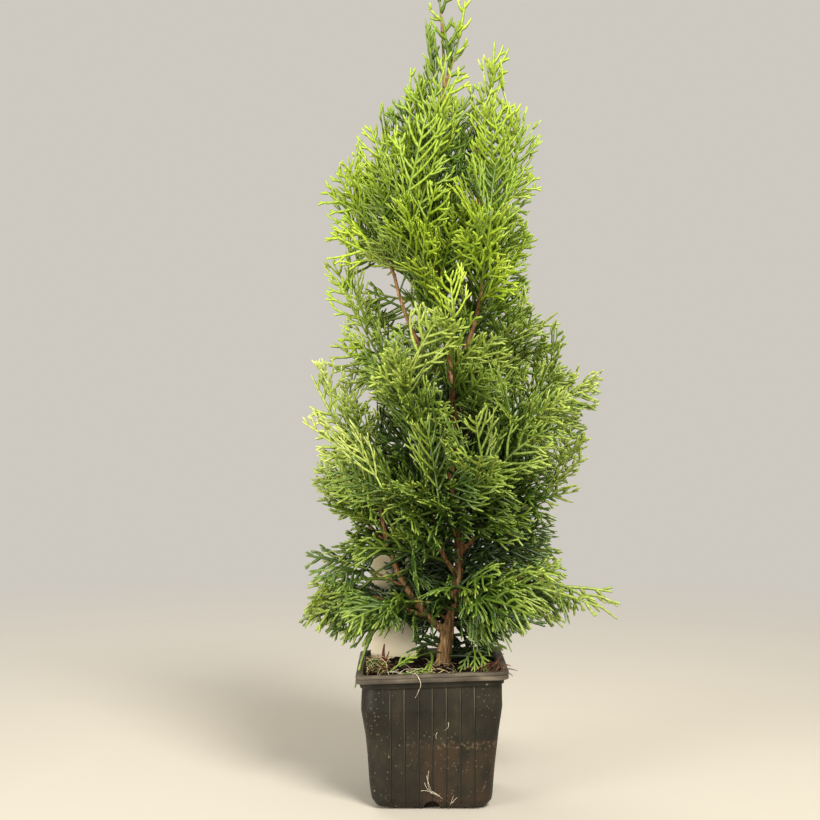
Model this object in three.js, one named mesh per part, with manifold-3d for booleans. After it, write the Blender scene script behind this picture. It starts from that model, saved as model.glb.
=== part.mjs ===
// A young potted thuja, as sold in a small square nursery pot: the pot with its filling of potting soil,
// a blank plant label, a forked trunk that runs to the leader, the woody limbs and boughs, and flattened
// masses of scale-leaved sprays round them.
// Millimetres, +Z up. The origin is the middle of the pot's flat underside. The front of the plant faces -Y.
import * as THREE from "three";
import { mergeVertices } from "three/addons/utils/BufferGeometryUtils.js";
import Module from "manifold-3d";

const wasm = await Module();
wasm.setup();

// ---------------------------------------------------------------- driving dimensions

const CLEARANCE = 0.3; // between any two neighbouring solids
const UP = new THREE.Vector3(0, 0, 1);

const POT = {
  height: 82,
  rimHalf: 45, // the rim is 90 mm square
  rimHeight: 5,
  rimCorner: 6,
  wall: 1.3,
  floor: 1.8,
  corner: 9, // radius of the upright corners
  cornerSteps: 3,
  rimRise: 3, // the thin rim is sprung: its right side stands this much higher than its left
  rimInset: 0.4, // the rim's inner edge stands this far inside the wall's inner face
  innerRound: 1, // the inner corners are this much tighter than the outer ones
  uprightFrom: 70, // above this height the inner face doesn't follow the stacking lip
  // The outer wall, from the underside up: height, half width. It bulges softly in its upper half.
  wallLine: [
    [0, 30],
    [1.6, 33.4],
    [5, 35.6],
    [14, 36.6],
    [30, 37.9],
    [45, 39.5],
    [60, 41.7],
    [73.4, 41.4],
    [73.8, 42.6], // the stacking lip under the rim
    [76.6, 42.6],
  ],
};
const NOTCH = { halfWidth: 5, height: 5.5, depth: 9 }; // air notch in the middle of each lower edge
const DRAIN = { radius: 3.5, from: 19 }; // four drain holes, this far from the middle each way

const SOIL = {
  top: 77,
  edge: 75.4,
  crown: 0.9, // the crumbly top stands this far above the soil line, and its lumps rise and fall by lump
  lump: 2.6,
  heap: { x: -26, y: -14, rise: 2.2, radius: 9 }, // a low heap at the front left
  edgeFrom: 22, // the top slopes down to its edge between these distances from the middle
  edgeTo: 40,
  rings: 4,
  innerRing: 0.14, // the rings of the top, as shares of the edge
  outerRing: 0.88,
  seatRadius: 6.8, // the round seat that the trunk's foot stands in
  seatDepth: 20,
};

const LABEL = { x: -23.5, y: 33, width: 29, thick: 0.9, top: 146, foot: 48, point: 12, corner: 3, lean: 2 };

const TRUNK = {
  sides: 8,
  rings: 22,
  flare: 1.5, // root flare, added to the bole's radius at the soil
  flareHeight: 3, // it fades to a third over this height
  bole: 4.7, // radius below the fork
  stem: 3.1, // radius just above the fork
  tip: 0.7,
  taper: 0.8, // less than 1 keeps the stem thick for longer
  forkFrom: 18, // heights above the soil between which the bole thins into the stem
  forkTo: 32,
};
// The line of the trunk, from the soil to the tip of its wood.
const TRUNK_LINE = [
  [7.3, 0, SOIL.top + CLEARANCE],
  [9.2, 0, 96],
  [15.5, 0, 126],
  [17.3, 1, 150],
  [12.5, 2, 190],
  [13.8, 1, 238],
  [8.5, 0, 285],
  [1.8, -1, 335],
  [1.8, 0, 384],
  [7.6, 0, 430],
  [7.0, 0, 468],
].map((point) => new THREE.Vector3(...point));

const CROWN_X = 8; // the upright line that azimuth and reach are measured from
// Azimuth 0 is the plant's right, 90 its back, 180 its left and 270 its front. The foot is a height on
// the trunk, or a share of the parent limb's length. Rise is the angle above level at which it sets out.
const LIMBS = [
  { name: "left_limb", from: "trunk", foot: 99, azimuth: 183, reach: 41, height: 188, rise: 36, thick: 2.5, thin: 1.4 },
  { name: "right_limb", from: "trunk", foot: 149, azimuth: 356, reach: 30, height: 216, rise: 34, thick: 1.8, thin: 1.1 },
  { name: "inner_limb", from: "trunk", foot: 134, azimuth: 240, reach: 20, height: 208, rise: 38, thick: 1.6, thin: 1.1 },
  { name: "upper_left_limb", from: "trunk", foot: 250, azimuth: 191, reach: 31, height: 318, rise: 42, thick: 1.6, thin: 1.0 },
  { name: "upper_right_limb", from: "trunk", foot: 258, azimuth: 340, reach: 18, height: 384, rise: 52, thick: 1.5, thin: 0.9 },
  { name: "low_left_bough", from: "left_limb", foot: 0.16, azimuth: 188, reach: 40, height: 121, rise: 20, thick: 1.3, thin: 0.9 },
  { name: "low_right_bough", from: "trunk", foot: 117, azimuth: 356, reach: 36, height: 131, rise: 36, thick: 1.4, thin: 0.9 },
  { name: "low_back_bough", from: "trunk", foot: 113, azimuth: 78, reach: 30, height: 130, rise: 40, thick: 1.4, thin: 0.9 },
  { name: "mid_left_bough", from: "trunk", foot: 198, azimuth: 176, reach: 28, height: 246, rise: 48, thick: 1.3, thin: 0.9 },
  { name: "mid_right_bough", from: "trunk", foot: 208, azimuth: 8, reach: 28, height: 256, rise: 48, thick: 1.3, thin: 0.9 },
  { name: "mid_back_bough", from: "trunk", foot: 176, azimuth: 96, reach: 28, height: 208, rise: 48, thick: 1.4, thin: 0.9 },
  { name: "upper_back_bough", from: "trunk", foot: 262, azimuth: 92, reach: 22, height: 306, rise: 52, thick: 1.2, thin: 0.8 },
];

// Width is half the span of the fan, and roll turns the fan's plane: at 0 it stands upright through its
// stem, and at 90 it lies flat. Droop lowers a spray's tip by that share of its length.
const MASSES = [
  { name: "foliage_low_left", from: "low_left_bough", foot: 1, azimuth: 185, reach: 87, height: 104, rise: 12, width: 36, roll: 22, droop: 0.22 },
  { name: "foliage_low_left_high", from: "left_limb", foot: 0.4, azimuth: 177, reach: 86, height: 146, rise: 32, width: 34, roll: 28, droop: 0.16 },
  { name: "foliage_low_hanging", from: "low_left_bough", foot: 0.5, azimuth: 206, reach: 60, height: 70, rise: 6, width: 17, roll: 30, droop: 0.2 },
  { name: "foliage_low_front_left", from: "trunk", foot: 112, azimuth: 219, reach: 76, height: 112, rise: 30, width: 33, roll: 48, droop: 0.22 },
  { name: "foliage_low_front_right", from: "trunk", foot: 121, azimuth: 300, reach: 74, height: 98, rise: 34, width: 36, roll: 52, droop: 0.28 },
  { name: "foliage_low_right", from: "low_right_bough", foot: 1, azimuth: 356, reach: 106, height: 108, rise: 14, width: 26, roll: 26, droop: 0.2 },
  { name: "foliage_low_right_high", from: "trunk", foot: 139, azimuth: 10, reach: 74, height: 146, rise: 34, width: 34, roll: 34, droop: 0.16 },
  { name: "foliage_low_back_right", from: "low_back_bough", foot: 0.5, azimuth: 45, reach: 82, height: 106, rise: 24, width: 36, roll: 46, droop: 0.25 },
  { name: "foliage_low_back", from: "low_back_bough", foot: 1, azimuth: 93, reach: 82, height: 112, rise: 20, width: 38, roll: 60, droop: 0.25 },
  { name: "foliage_low_back_left", from: "trunk", foot: 106, azimuth: 150, reach: 84, height: 116, rise: 34, width: 32, roll: 36, droop: 0.18 },
  { name: "foliage_midlow_left", from: "left_limb", foot: 0.7, azimuth: 186, reach: 78, height: 204, rise: 42, width: 38, roll: 26, droop: 0.06 },
  { name: "foliage_midlow_front_left", from: "inner_limb", foot: 0.42, azimuth: 234, reach: 67, height: 192, rise: 42, width: 38, roll: 58, droop: 0.08 },
  { name: "foliage_midlow_front", from: "trunk", foot: 150, azimuth: 264, reach: 62, height: 184, rise: 44, width: 28, roll: 72, droop: 0.08 },
  { name: "foliage_midlow_front_right", from: "trunk", foot: 162, azimuth: 297, reach: 71, height: 198, rise: 44, width: 40, roll: 58, droop: 0.08 },
  { name: "foliage_midlow_right", from: "right_limb", foot: 0.35, azimuth: 3, reach: 84, height: 186, rise: 34, width: 38, roll: 30, droop: 0.08 },
  { name: "foliage_midlow_back_right", from: "mid_back_bough", foot: 0.4, azimuth: 50, reach: 78, height: 202, rise: 40, width: 41, roll: 44, droop: 0.08 },
  { name: "foliage_midlow_back_left", from: "trunk", foot: 170, azimuth: 130, reach: 78, height: 200, rise: 44, width: 41, roll: 42, droop: 0.08 },
  { name: "foliage_mid_left", from: "left_limb", foot: 1, azimuth: 180, reach: 82, height: 258, rise: 54, width: 44, roll: 12, droop: 0 },
  { name: "foliage_mid_left_high", from: "mid_left_bough", foot: 1, azimuth: 178, reach: 67, height: 318, rise: 62, width: 38, roll: 16, droop: 0 },
  { name: "foliage_mid_front_left", from: "inner_limb", foot: 1, azimuth: 240, reach: 63, height: 276, rise: 52, width: 40, roll: 60, droop: 0 },
  { name: "foliage_mid_front", from: "trunk", foot: 230, azimuth: 274, reach: 60, height: 300, rise: 50, width: 41, roll: 76, droop: 0 },
  { name: "foliage_mid_front_right", from: "right_limb", foot: 0.8, azimuth: 318, reach: 80, height: 240, rise: 44, width: 42, roll: 44, droop: 0.02 },
  { name: "foliage_mid_right", from: "right_limb", foot: 1, azimuth: 2, reach: 96, height: 250, rise: 46, width: 47, roll: 12, droop: 0.02 },
  { name: "foliage_mid_right_high", from: "mid_right_bough", foot: 1, azimuth: 354, reach: 70, height: 296, rise: 52, width: 38, roll: 28, droop: 0 },
  { name: "foliage_mid_back_right", from: "trunk", foot: 224, azimuth: 55, reach: 74, height: 276, rise: 50, width: 44, roll: 40, droop: 0 },
  { name: "foliage_mid_back_left", from: "mid_back_bough", foot: 1, azimuth: 110, reach: 76, height: 262, rise: 48, width: 44, roll: 48, droop: 0 },
  { name: "foliage_upper_left", from: "upper_left_limb", foot: 1, azimuth: 185, reach: 67, height: 382, rise: 64, width: 41, roll: 8, droop: 0 },
  { name: "foliage_upper_left_top", from: "trunk", foot: 316, azimuth: 178, reach: 46, height: 412, rise: 60, width: 34, roll: 18, droop: 0 },
  { name: "foliage_upper_front_left", from: "trunk", foot: 288, azimuth: 238, reach: 50, height: 368, rise: 56, width: 38, roll: 56, droop: 0 },
  { name: "foliage_upper_front_right", from: "upper_right_limb", foot: 0.34, azimuth: 300, reach: 54, height: 354, rise: 54, width: 38, roll: 54, droop: 0 },
  { name: "foliage_upper_right_low", from: "trunk", foot: 276, azimuth: 6, reach: 56, height: 344, rise: 54, width: 40, roll: 20, droop: 0 },
  { name: "foliage_upper_right", from: "upper_right_limb", foot: 0.6, azimuth: 350, reach: 48, height: 408, rise: 66, width: 24, roll: 16, droop: 0 },
  { name: "foliage_upper_back_left", from: "trunk", foot: 282, azimuth: 138, reach: 58, height: 354, rise: 54, width: 41, roll: 38, droop: 0 },
  { name: "foliage_upper_back", from: "upper_back_bough", foot: 1, azimuth: 80, reach: 56, height: 380, rise: 60, width: 41, roll: 48, droop: 0 },
  { name: "foliage_top_front", from: "trunk", foot: 344, azimuth: 262, reach: 27, height: 424, rise: 58, width: 21, roll: 68, droop: 0 },
  { name: "foliage_top_left", from: "trunk", foot: 360, azimuth: 194, reach: 21, height: 446, rise: 62, width: 24, roll: 20, droop: 0 },
  { name: "foliage_top_back", from: "trunk", foot: 368, azimuth: 82, reach: 24, height: 440, rise: 60, width: 25, roll: 50, droop: 0 },
  { name: "foliage_top_right", from: "upper_right_limb", foot: 1, azimuth: 352, reach: 31, height: 462, rise: 70, width: 16, roll: 14, droop: 0 },
  { name: "foliage_tip_left", from: "trunk", foot: 424, azimuth: 196, reach: 12, height: 476, rise: 68, width: 13, roll: 20, droop: 0 },
  { name: "foliage_tip_right", from: "trunk", foot: 434, azimuth: 356, reach: 13, height: 488, rise: 68, width: 12, roll: 20, droop: 0 },
  { name: "foliage_leader", from: "trunk", foot: 467.9, azimuth: 160, reach: 5, height: 501, rise: 86, width: 14, roll: 10, droop: 0 },
];

// The rule by which every mass grows: sprays leave the stem by turns left and right, and each spray is a
// flat toothed blade whose teeth stand for its branchlets. Angles are in degrees.
const SEED = 4;
const GROWTH = {
  stemBow: 0.45, // how far along its span a stem keeps the angle at which it set out
  sprayStep: 8.5, // along the stem, between two sprays
  first: 0.1, // the first spray's share of the stem, and the last one's
  last: 0.66,
  sprayLean: 40,
  sprayLeanSpread: 14,
  sprayTilt: 0.9, // most that a spray leaves the fan's plane, as a share of its reach
  sprayTurn: 70, // degrees between the most and the least turned spray, round its own line
  spraySpread: 0.24, // how much one spray's reach varies
  sprayCurl: 0.16, // how far a spray's tip turns along the stem
  endFrom: 0.6, // the spray that ends a stem starts at this share of it
  shortest: 0.35, // a spray with less room than this share of its reach isn't grown
  leastReach: 9,
  ovalSkew: 0.75, // a fan's oval is widest at half its length where this is 1, and farther out below it
  ovalPower: 0.5,
};
// A spray is tried for room at this many shares of its curve, from the first share to its tip.
const TRIAL = { steps: 9, first: 0.2, back: 0.1 };
const TOOTH = {
  every: 11, // of a spray's reach stands for one pair of teeth
  most: 3,
  first: 0.16, // where along the spray the first tooth starts, and the last one ends
  last: 0.78,
  lean: 40, // degrees from the spray's own line
  share: 0.58, // a tooth's length as a share of its spray's reach
  spread: 0.3,
  waveFrom: 0.28, // the teeth grow and then shrink along the spray, as a sine does over this stretch of a half turn
  waveSpan: 0.55,
  tries: [1, 0.8, 0.6, 0.4], // shares of its length at which a tooth is tried for room
  stub: 0.12, // and what is left of one that has none
  tipRadius: 0.2,
};
const TWIG = { stemThick: 1.1, stemThin: 0.6, rings: 4, past: 0.1 }; // past: how far it runs into the end spray
const RIB = { halfWidth: 0.9, halfThick: 0.5, taper: 0.4 }; // the middle rib of a spray
const ROOM = { mass: 0.7, limb: 0.6, label: 1.6, aboveSoil: 4, besidePot: 3 };

// ---------------------------------------------------------------- geometry helpers

const radians = THREE.MathUtils.degToRad;

function smooth(low, high, value) {
  return THREE.MathUtils.smoothstep(value, low, high);
}

// A number from 0 to 1 that depends only on its keys, so that the rule grows the same plant every time.
function chance(...keys) {
  const weights = [127.1, 311.7, 74.7, 19.19];
  const sum = keys.reduce((total, key, i) => total + key * weights[i], SEED * 53.3);
  const wave = Math.sin(sum) * 43758.5453;
  return wave - Math.floor(wave);
}

// Joins rings of points into one closed surface. A ring of one point closes it in a tip, and any other
// end is closed flat, by one triangle or by a fan round its middle. Rings turn anticlockwise, seen from
// the end that they run towards.
function loft(rings) {
  const position = [];
  const face = (...corners) => corners.forEach((corner) => position.push(corner.x, corner.y, corner.z));
  for (let k = 0; k + 1 < rings.length; k++) {
    const low = rings[k];
    const high = rings[k + 1];
    for (let i = 0; i < Math.max(low.length, high.length); i++) {
      const j = i + 1;
      if (low.length > 1) face(low[i], low[j % low.length], high[j % high.length]);
      if (high.length > 1) face(low[i % low.length], high[j % high.length], high[i % high.length]);
    }
  }
  const close = (ring, flip) => {
    if (ring.length === 1) return;
    const turned = flip ? [...ring].reverse() : ring;
    if (ring.length === 3) return face(...turned);
    const middle = ring.reduce((sum, p) => sum.add(p), new THREE.Vector3()).divideScalar(ring.length);
    turned.forEach((point, i) => face(middle, point, turned[(i + 1) % turned.length]));
  };
  close(rings[0], true);
  close(rings[rings.length - 1], false);
  return new THREE.BufferGeometry().setAttribute("position", new THREE.Float32BufferAttribute(position, 3));
}

function solidOf(geometry) {
  const bare = new THREE.BufferGeometry().setAttribute("position", geometry.getAttribute("position"));
  if (geometry.index) bare.setIndex(geometry.index);
  const merged = mergeVertices(bare, 1e-4);
  return new wasm.Manifold(
    new wasm.Mesh({
      numProp: 3,
      vertProperties: new Float32Array(merged.attributes.position.array),
      triVerts: new Uint32Array(merged.index.array),
    }),
  );
}

function geometryOf(solid) {
  const mesh = solid.getMesh();
  const geometry = new THREE.BufferGeometry();
  geometry.setAttribute("position", new THREE.Float32BufferAttribute(mesh.vertProperties, 3));
  geometry.setIndex(new THREE.BufferAttribute(mesh.triVerts, 1));
  geometry.computeVertexNormals();
  return geometry;
}

// The largest body of a solid, so that a scrap which a cut left behind is dropped.
function mainBody(solid) {
  return solid.decompose().reduce((best, body) => (body.volume() > best.volume() ? body : best));
}

// Rings round a curve, with their radius as a function of the share of its length.
function ringsAlong(curve, shares, sides, radiusAt, normal) {
  return shares.map((share) => {
    const middle = curve.getPoint(share);
    const tangent = curve.getTangent(share);
    const across = tangent.clone().cross(normal).normalize();
    const over = across.clone().cross(tangent).normalize();
    return Array.from({ length: sides }, (_, i) => {
      const angle = (i / sides) * 2 * Math.PI;
      return middle
        .clone()
        .addScaledVector(over, Math.cos(angle) * radiusAt(share))
        .addScaledVector(across, Math.sin(angle) * radiusAt(share));
    });
  });
}

function evenShares(count, from = 0, to = 1) {
  return Array.from({ length: count }, (_, i) => from + ((to - from) * i) / (count - 1));
}

// ---------------------------------------------------------------- pot, soil and label

// A square ring with round corners. The sprung rim lifts its right side and lowers its left.
function squareRing(half, corner, height) {
  const ring = [];
  for (let quarter = 0; quarter < 4; quarter++) {
    const sideX = quarter === 0 || quarter === 3 ? 1 : -1;
    const sideY = quarter < 2 ? 1 : -1;
    for (let step = 0; step <= POT.cornerSteps; step++) {
      const angle = ((quarter + step / POT.cornerSteps) * Math.PI) / 2;
      const x = sideX * (half - corner) + corner * Math.cos(angle);
      const y = sideY * (half - corner) + corner * Math.sin(angle);
      ring.push(new THREE.Vector3(x, y, height + rimRiseAt(x, height)));
    }
  }
  return ring;
}

function rimRiseAt(x, height) {
  return (POT.rimRise / 2) * (x / POT.rimHalf) * smooth(POT.height * 0.3, POT.height * 0.9, height);
}

// The outer wall's half width at a height, on the straight lines between the points of its line.
function wallHalf(height) {
  const line = POT.wallLine;
  const i = line.findIndex(([z]) => z >= height);
  if (i < 1) return line[i < 0 ? line.length - 1 : 0][1];
  const [z0, half0] = line[i - 1];
  const [z1, half1] = line[i];
  return half0 + ((half1 - half0) * (height - z0)) / (z1 - z0);
}

function innerHalf(height) {
  return wallHalf(Math.min(height, POT.uprightFrom)) - POT.wall;
}

function makePot() {
  const { height, rimHalf, rimHeight, rimCorner, rimInset, wall, floor, corner, innerRound, wallLine } = POT;
  const innerHeights = [height - rimHeight, 60, 30, 5, floor];
  const shell = loft([
    ...wallLine.map(([z, half]) => squareRing(half, corner, z)),
    squareRing(rimHalf, rimCorner, height - rimHeight),
    squareRing(rimHalf, rimCorner, height),
    squareRing(wallHalf(height) - wall - rimInset, corner - innerRound, height),
    ...innerHeights.map((z) => squareRing(innerHalf(z), corner - innerRound, z)),
  ]);
  const cutters = [];
  for (let side = 0; side < 4; side++) {
    const turn = (side * Math.PI) / 2;
    const notch = new THREE.CylinderGeometry(1, 1, NOTCH.depth, 14)
      .scale(NOTCH.halfWidth, 1, NOTCH.height)
      .translate(0, wallHalf(NOTCH.height) - NOTCH.depth / 2 + 1, 0)
      .rotateZ(turn);
    const drain = new THREE.CylinderGeometry(DRAIN.radius, DRAIN.radius, 4 * floor, 14)
      .rotateX(Math.PI / 2)
      .translate(DRAIN.from, DRAIN.from, 0)
      .rotateZ(turn);
    cutters.push(solidOf(notch), solidOf(drain));
  }
  return solidOf(shell).subtract(wasm.Manifold.union(cutters));
}

// The height of the soil's crumbly top.
function soilHeight(x, y) {
  const lumps = Math.sin(x * 0.31 + 1.3) * Math.cos(y * 0.27 + 0.4) + 0.5 * Math.sin(x * 0.13 - y * 0.22);
  const { heap } = SOIL;
  const fromHeap = Math.hypot(x - heap.x, y - heap.y) / heap.radius;
  const heaped = heap.rise * Math.exp(-(fromHeap ** 2) / 2);
  const towardsEdge = smooth(SOIL.edgeFrom, SOIL.edgeTo, Math.max(Math.abs(x), Math.abs(y)));
  const middle = SOIL.top + SOIL.crown + (SOIL.lump / 2) * (0.6 + 0.5 * lumps) + heaped;
  return THREE.MathUtils.lerp(middle, SOIL.edge + rimRiseAt(x, SOIL.edge), towardsEdge);
}

function makeSoil(label) {
  const gap = 1.3 * CLEARANCE; // a little more than the clearance, because the facets of both are flat
  const sideHeights = [POT.floor + CLEARANCE, 5, 30, 60, SOIL.edge];
  const corner = POT.corner - POT.innerRound - gap / 2;
  const sides = sideHeights.map((z) => squareRing(innerHalf(z) - gap, corner, z));
  const edge = sides[sides.length - 1];
  const top = evenShares(SOIL.rings, SOIL.outerRing, SOIL.innerRing).map((share) =>
    edge.map(({ x, y }) => new THREE.Vector3(x * share, y * share, soilHeight(x * share, y * share))),
  );
  const foot = TRUNK_LINE[0];
  const seat = new THREE.CylinderGeometry(SOIL.seatRadius, SOIL.seatRadius, SOIL.seatDepth, 16)
    .rotateX(Math.PI / 2)
    .translate(foot.x, foot.y, SOIL.top + SOIL.seatDepth / 2);
  return solidOf(loft([...sides, ...top])).subtract(solidOf(seat)).subtract(label);
}

// The blank label: a thin card with round upper corners, leaning back a little. Grown by the clearance
// it cuts its own slot in the soil.
function makeLabel(grow = 0) {
  const half = LABEL.width / 2 + grow;
  const bottom = LABEL.foot - grow;
  const card = new THREE.Shape()
    .moveTo(-half, bottom + LABEL.point)
    .lineTo(0, bottom)
    .lineTo(half, bottom + LABEL.point)
    .lineTo(half, LABEL.top - LABEL.corner)
    .absarc(half - LABEL.corner, LABEL.top - LABEL.corner, LABEL.corner, 0, Math.PI / 2)
    .absarc(LABEL.corner - half, LABEL.top - LABEL.corner, LABEL.corner, Math.PI / 2, Math.PI);
  const thick = LABEL.thick + 2 * grow;
  const geometry = new THREE.ExtrudeGeometry(card, { depth: thick, bevelEnabled: false, curveSegments: 3 })
    .translate(0, 0, -thick / 2)
    .rotateX(Math.PI / 2 - radians(LABEL.lean));
  // The lean turns the card about the origin, so it is put back over its own foot.
  return solidOf(geometry).translate([LABEL.x, LABEL.y - LABEL.foot * Math.sin(radians(LABEL.lean)), 0]);
}

// ---------------------------------------------------------------- trunk, limbs and stems

const trunkCurve = new THREE.CatmullRomCurve3(TRUNK_LINE, false, "catmullrom", 0.5);

function trunkRadius(share) {
  const above = trunkCurve.getPoint(share).z - TRUNK_LINE[0].z;
  const length = TRUNK_LINE[TRUNK_LINE.length - 1].z - TRUNK_LINE[0].z;
  const stem = TRUNK.tip + (TRUNK.stem - TRUNK.tip) * (1 - above / length) ** TRUNK.taper;
  const bole = (TRUNK.bole - stem) * (1 - smooth(TRUNK.forkFrom, TRUNK.forkTo, above));
  return stem + bole + TRUNK.flare * Math.exp(-above / TRUNK.flareHeight);
}

// The share of the trunk's curve at a height, by halving.
function trunkShare(height) {
  let low = 0;
  let high = 1;
  for (let i = 0; i < 40; i++) {
    const middle = (low + high) / 2;
    if (trunkCurve.getPoint(middle).z < height) low = middle;
    else high = middle;
  }
  return low;
}

const branches = new Map([["trunk", { curve: trunkCurve, radiusAt: trunkRadius }]]);

// The point that a limb or a stem aims at.
function placeOf({ azimuth, reach, height }) {
  const angle = radians(azimuth);
  return new THREE.Vector3(CROWN_X + reach * Math.cos(angle), reach * Math.sin(angle), height);
}

// A limb or stem sets out from its parent's middle line at its own rise, and bends towards its tip.
function branchCurve(row) {
  const parent = branches.get(row.from).curve;
  const start = parent.getPoint(row.from === "trunk" ? trunkShare(row.foot) : row.foot);
  const tip = placeOf(row);
  const span = tip.clone().sub(start);
  const level = new THREE.Vector3(span.x, span.y, 0).normalize();
  const rise = radians(row.rise);
  const bend = start
    .clone()
    .addScaledVector(level, Math.cos(rise) * span.length() * GROWTH.stemBow)
    .addScaledVector(UP, Math.sin(rise) * span.length() * GROWTH.stemBow);
  return new THREE.QuadraticBezierCurve3(start, bend, tip);
}

// A normal that no part of the branch runs along.
function sideOf(curve) {
  const along = curve.getPoint(1).sub(curve.getPoint(0));
  return along.cross(UP).normalize();
}

// A grown limb also reaches past its tip: the last ring again, moved on by as much as it is grown.
function endPast(rings, curve, grow) {
  const along = curve.getTangent(1).multiplyScalar(grow);
  return grow ? [rings[rings.length - 1].map((point) => point.clone().add(along))] : [];
}

function makeTrunk(grow = 0) {
  const shares = [0, 0.006, 0.016, ...evenShares(TRUNK.rings, 0.035, 1)];
  const radiusAt = (share) => trunkRadius(share) + grow;
  const rings = ringsAlong(trunkCurve, shares, TRUNK.sides, radiusAt, new THREE.Vector3(0, 1, 0));
  rings[0].forEach((point) => (point.z = TRUNK_LINE[0].z - grow)); // the flat cut at ground level
  return solidOf(loft([...rings, ...endPast(rings, trunkCurve, grow)]));
}

function makeLimb({ curve, radiusAt }, grow = 0) {
  const rings = ringsAlong(curve, evenShares(6), 6, (share) => radiusAt(share) + grow, sideOf(curve));
  return solidOf(loft([...rings, ...endPast(rings, curve, grow)]));
}

// ---------------------------------------------------------------- foliage

// The distance from a point to a line through sampled points, and the share of the line it falls on.
function distanceTo(line, point) {
  let best = Infinity;
  let at = 0;
  const nearest = new THREE.Vector3();
  const piece = new THREE.Line3();
  for (let i = 0; i + 1 < line.length; i++) {
    piece.set(line[i], line[i + 1]).closestPointToPoint(point, true, nearest);
    const distance = nearest.distanceTo(point);
    if (distance < best) {
      best = distance;
      at = (i + 0.5) / (line.length - 1);
    }
  }
  return [best, at];
}

// True if a point of the mass, with that much leaf or twig round it, keeps to its own space: nearer its
// own stem than any other, clear of the limbs and the label, and above the soil and outside the pot.
function hasRoom(point, radius, mass) {
  const { x, y, z } = point;
  if (Math.max(Math.abs(x), Math.abs(y)) < POT.rimHalf + ROOM.besidePot && z < SOIL.top + ROOM.aboveSoil + radius)
    return false;
  const nearLabel = ROOM.label + radius;
  const leanAt = (z - LABEL.foot) * Math.sin(radians(LABEL.lean));
  if (Math.abs(x - LABEL.x) < LABEL.width / 2 + nearLabel && z < LABEL.top + nearLabel)
    if (Math.abs(y - LABEL.y - leanAt) < LABEL.thick / 2 + nearLabel) return false;
  for (const limb of limbs.values()) {
    const [distance, at] = distanceTo(limb.line, point);
    if (distance < limb.radiusAt(at) + radius + ROOM.limb) return false;
  }
  const [own] = distanceTo(mass.line, point);
  return masses.every((other) => other === mass || own + radius + ROOM.mass < distanceTo(other.line, point)[0]);
}

// Half the fan's span at a share of its stem: an oval that starts at the stem's foot and ends at its tip.
function fanHalf(mass, share) {
  return share >= 1 ? 0 : mass.width * Math.sin(Math.PI * share ** GROWTH.ovalSkew) ** GROWTH.ovalPower;
}

// How far a spray reaches before it leaves the oval of its fan, by halving.
function reachFrom(mass, share, lean, length) {
  let low = 0;
  let high = length;
  for (let i = 0; i < 20; i++) {
    const middle = (low + high) / 2;
    const inside = middle * Math.sin(lean) < fanHalf(mass, share + (middle * Math.cos(lean)) / length);
    if (inside) low = middle;
    else high = middle;
  }
  return low;
}

// The sprays of one mass: curves in and near the fan's plane, by turns to its two sides, each with the
// normal of its own blade. The last one is the stem's own end.
function spraysOf(mass) {
  const { curve, index, droop } = mass;
  const length = curve.getLength();
  const count = Math.round(((GROWTH.last - GROWTH.first) * length) / GROWTH.sprayStep);
  const sprays = [];
  for (let i = 0; i < count; i++) {
    const share = GROWTH.first + ((GROWTH.last - GROWTH.first) * (i + 0.6 * chance(index, i, 1))) / count;
    const lean = radians(GROWTH.sprayLean + GROWTH.sprayLeanSpread * (chance(index, i, 2) - 0.5));
    const reach = reachFrom(mass, share, lean, length) * (1 - GROWTH.spraySpread * chance(index, i, 3));
    if (reach < GROWTH.leastReach) continue;
    const tangent = curve.getTangent(share);
    const across = mass.normal.clone().cross(tangent).normalize();
    const heading = tangent
      .clone()
      .multiplyScalar(Math.cos(lean))
      .addScaledVector(across, (i % 2 ? 1 : -1) * Math.sin(lean))
      .addScaledVector(mass.normal, GROWTH.sprayTilt * (chance(index, i, 4) - 0.5))
      .normalize();
    const start = curve.getPoint(share);
    const bend = start.clone().addScaledVector(heading, reach * 0.5);
    const tip = start
      .clone()
      .addScaledVector(heading, reach * (1 - GROWTH.sprayCurl))
      .addScaledVector(tangent, reach * GROWTH.sprayCurl)
      .addScaledVector(UP, -droop * reach);
    const turn = radians(GROWTH.sprayTurn * (chance(index, i, 5) - 0.5));
    const normal = mass.normal.clone().addScaledVector(heading, -mass.normal.dot(heading)).normalize();
    normal.applyAxisAngle(heading, turn);
    sprays.push({ curve: new THREE.QuadraticBezierCurve3(start, bend, tip), reach, normal, index: i });
  }
  const end = partOf(curve, GROWTH.endFrom, 1);
  sprays.push({ curve: end, reach: end.getLength(), normal: mass.normal, index: count });
  return sprays;
}

// The part of a quadratic curve between two shares of it.
function partOf(curve, from, to) {
  const start = curve.getPoint(from);
  const tip = curve.getPoint(to);
  const bend = curve
    .getPoint((from + to) / 2)
    .multiplyScalar(2)
    .addScaledVector(start, -0.5)
    .addScaledVector(tip, -0.5);
  return new THREE.QuadraticBezierCurve3(start, bend, tip);
}

// How much of a spray's curve stays in the mass's own space.
function shareWithRoom(curve, mass) {
  const steps = evenShares(TRIAL.steps, TRIAL.first, 1);
  const stop = steps.findIndex((share) => !hasRoom(curve.getPoint(share), RIB.halfWidth, mass));
  return stop < 0 ? 1 : steps[stop] - TRIAL.back;
}

// A tooth's tip, drawn back towards its root until the tooth has room.
function toothTip(root, heading, length, mass) {
  const share = TOOTH.tries.find(
    (part) =>
      hasRoom(root.clone().addScaledVector(heading, length * part), TOOTH.tipRadius, mass) &&
      hasRoom(root.clone().addScaledVector(heading, (length * part) / 2), RIB.halfWidth, mass),
  );
  return root.clone().addScaledVector(heading, length * (share ?? TOOTH.stub));
}

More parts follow.
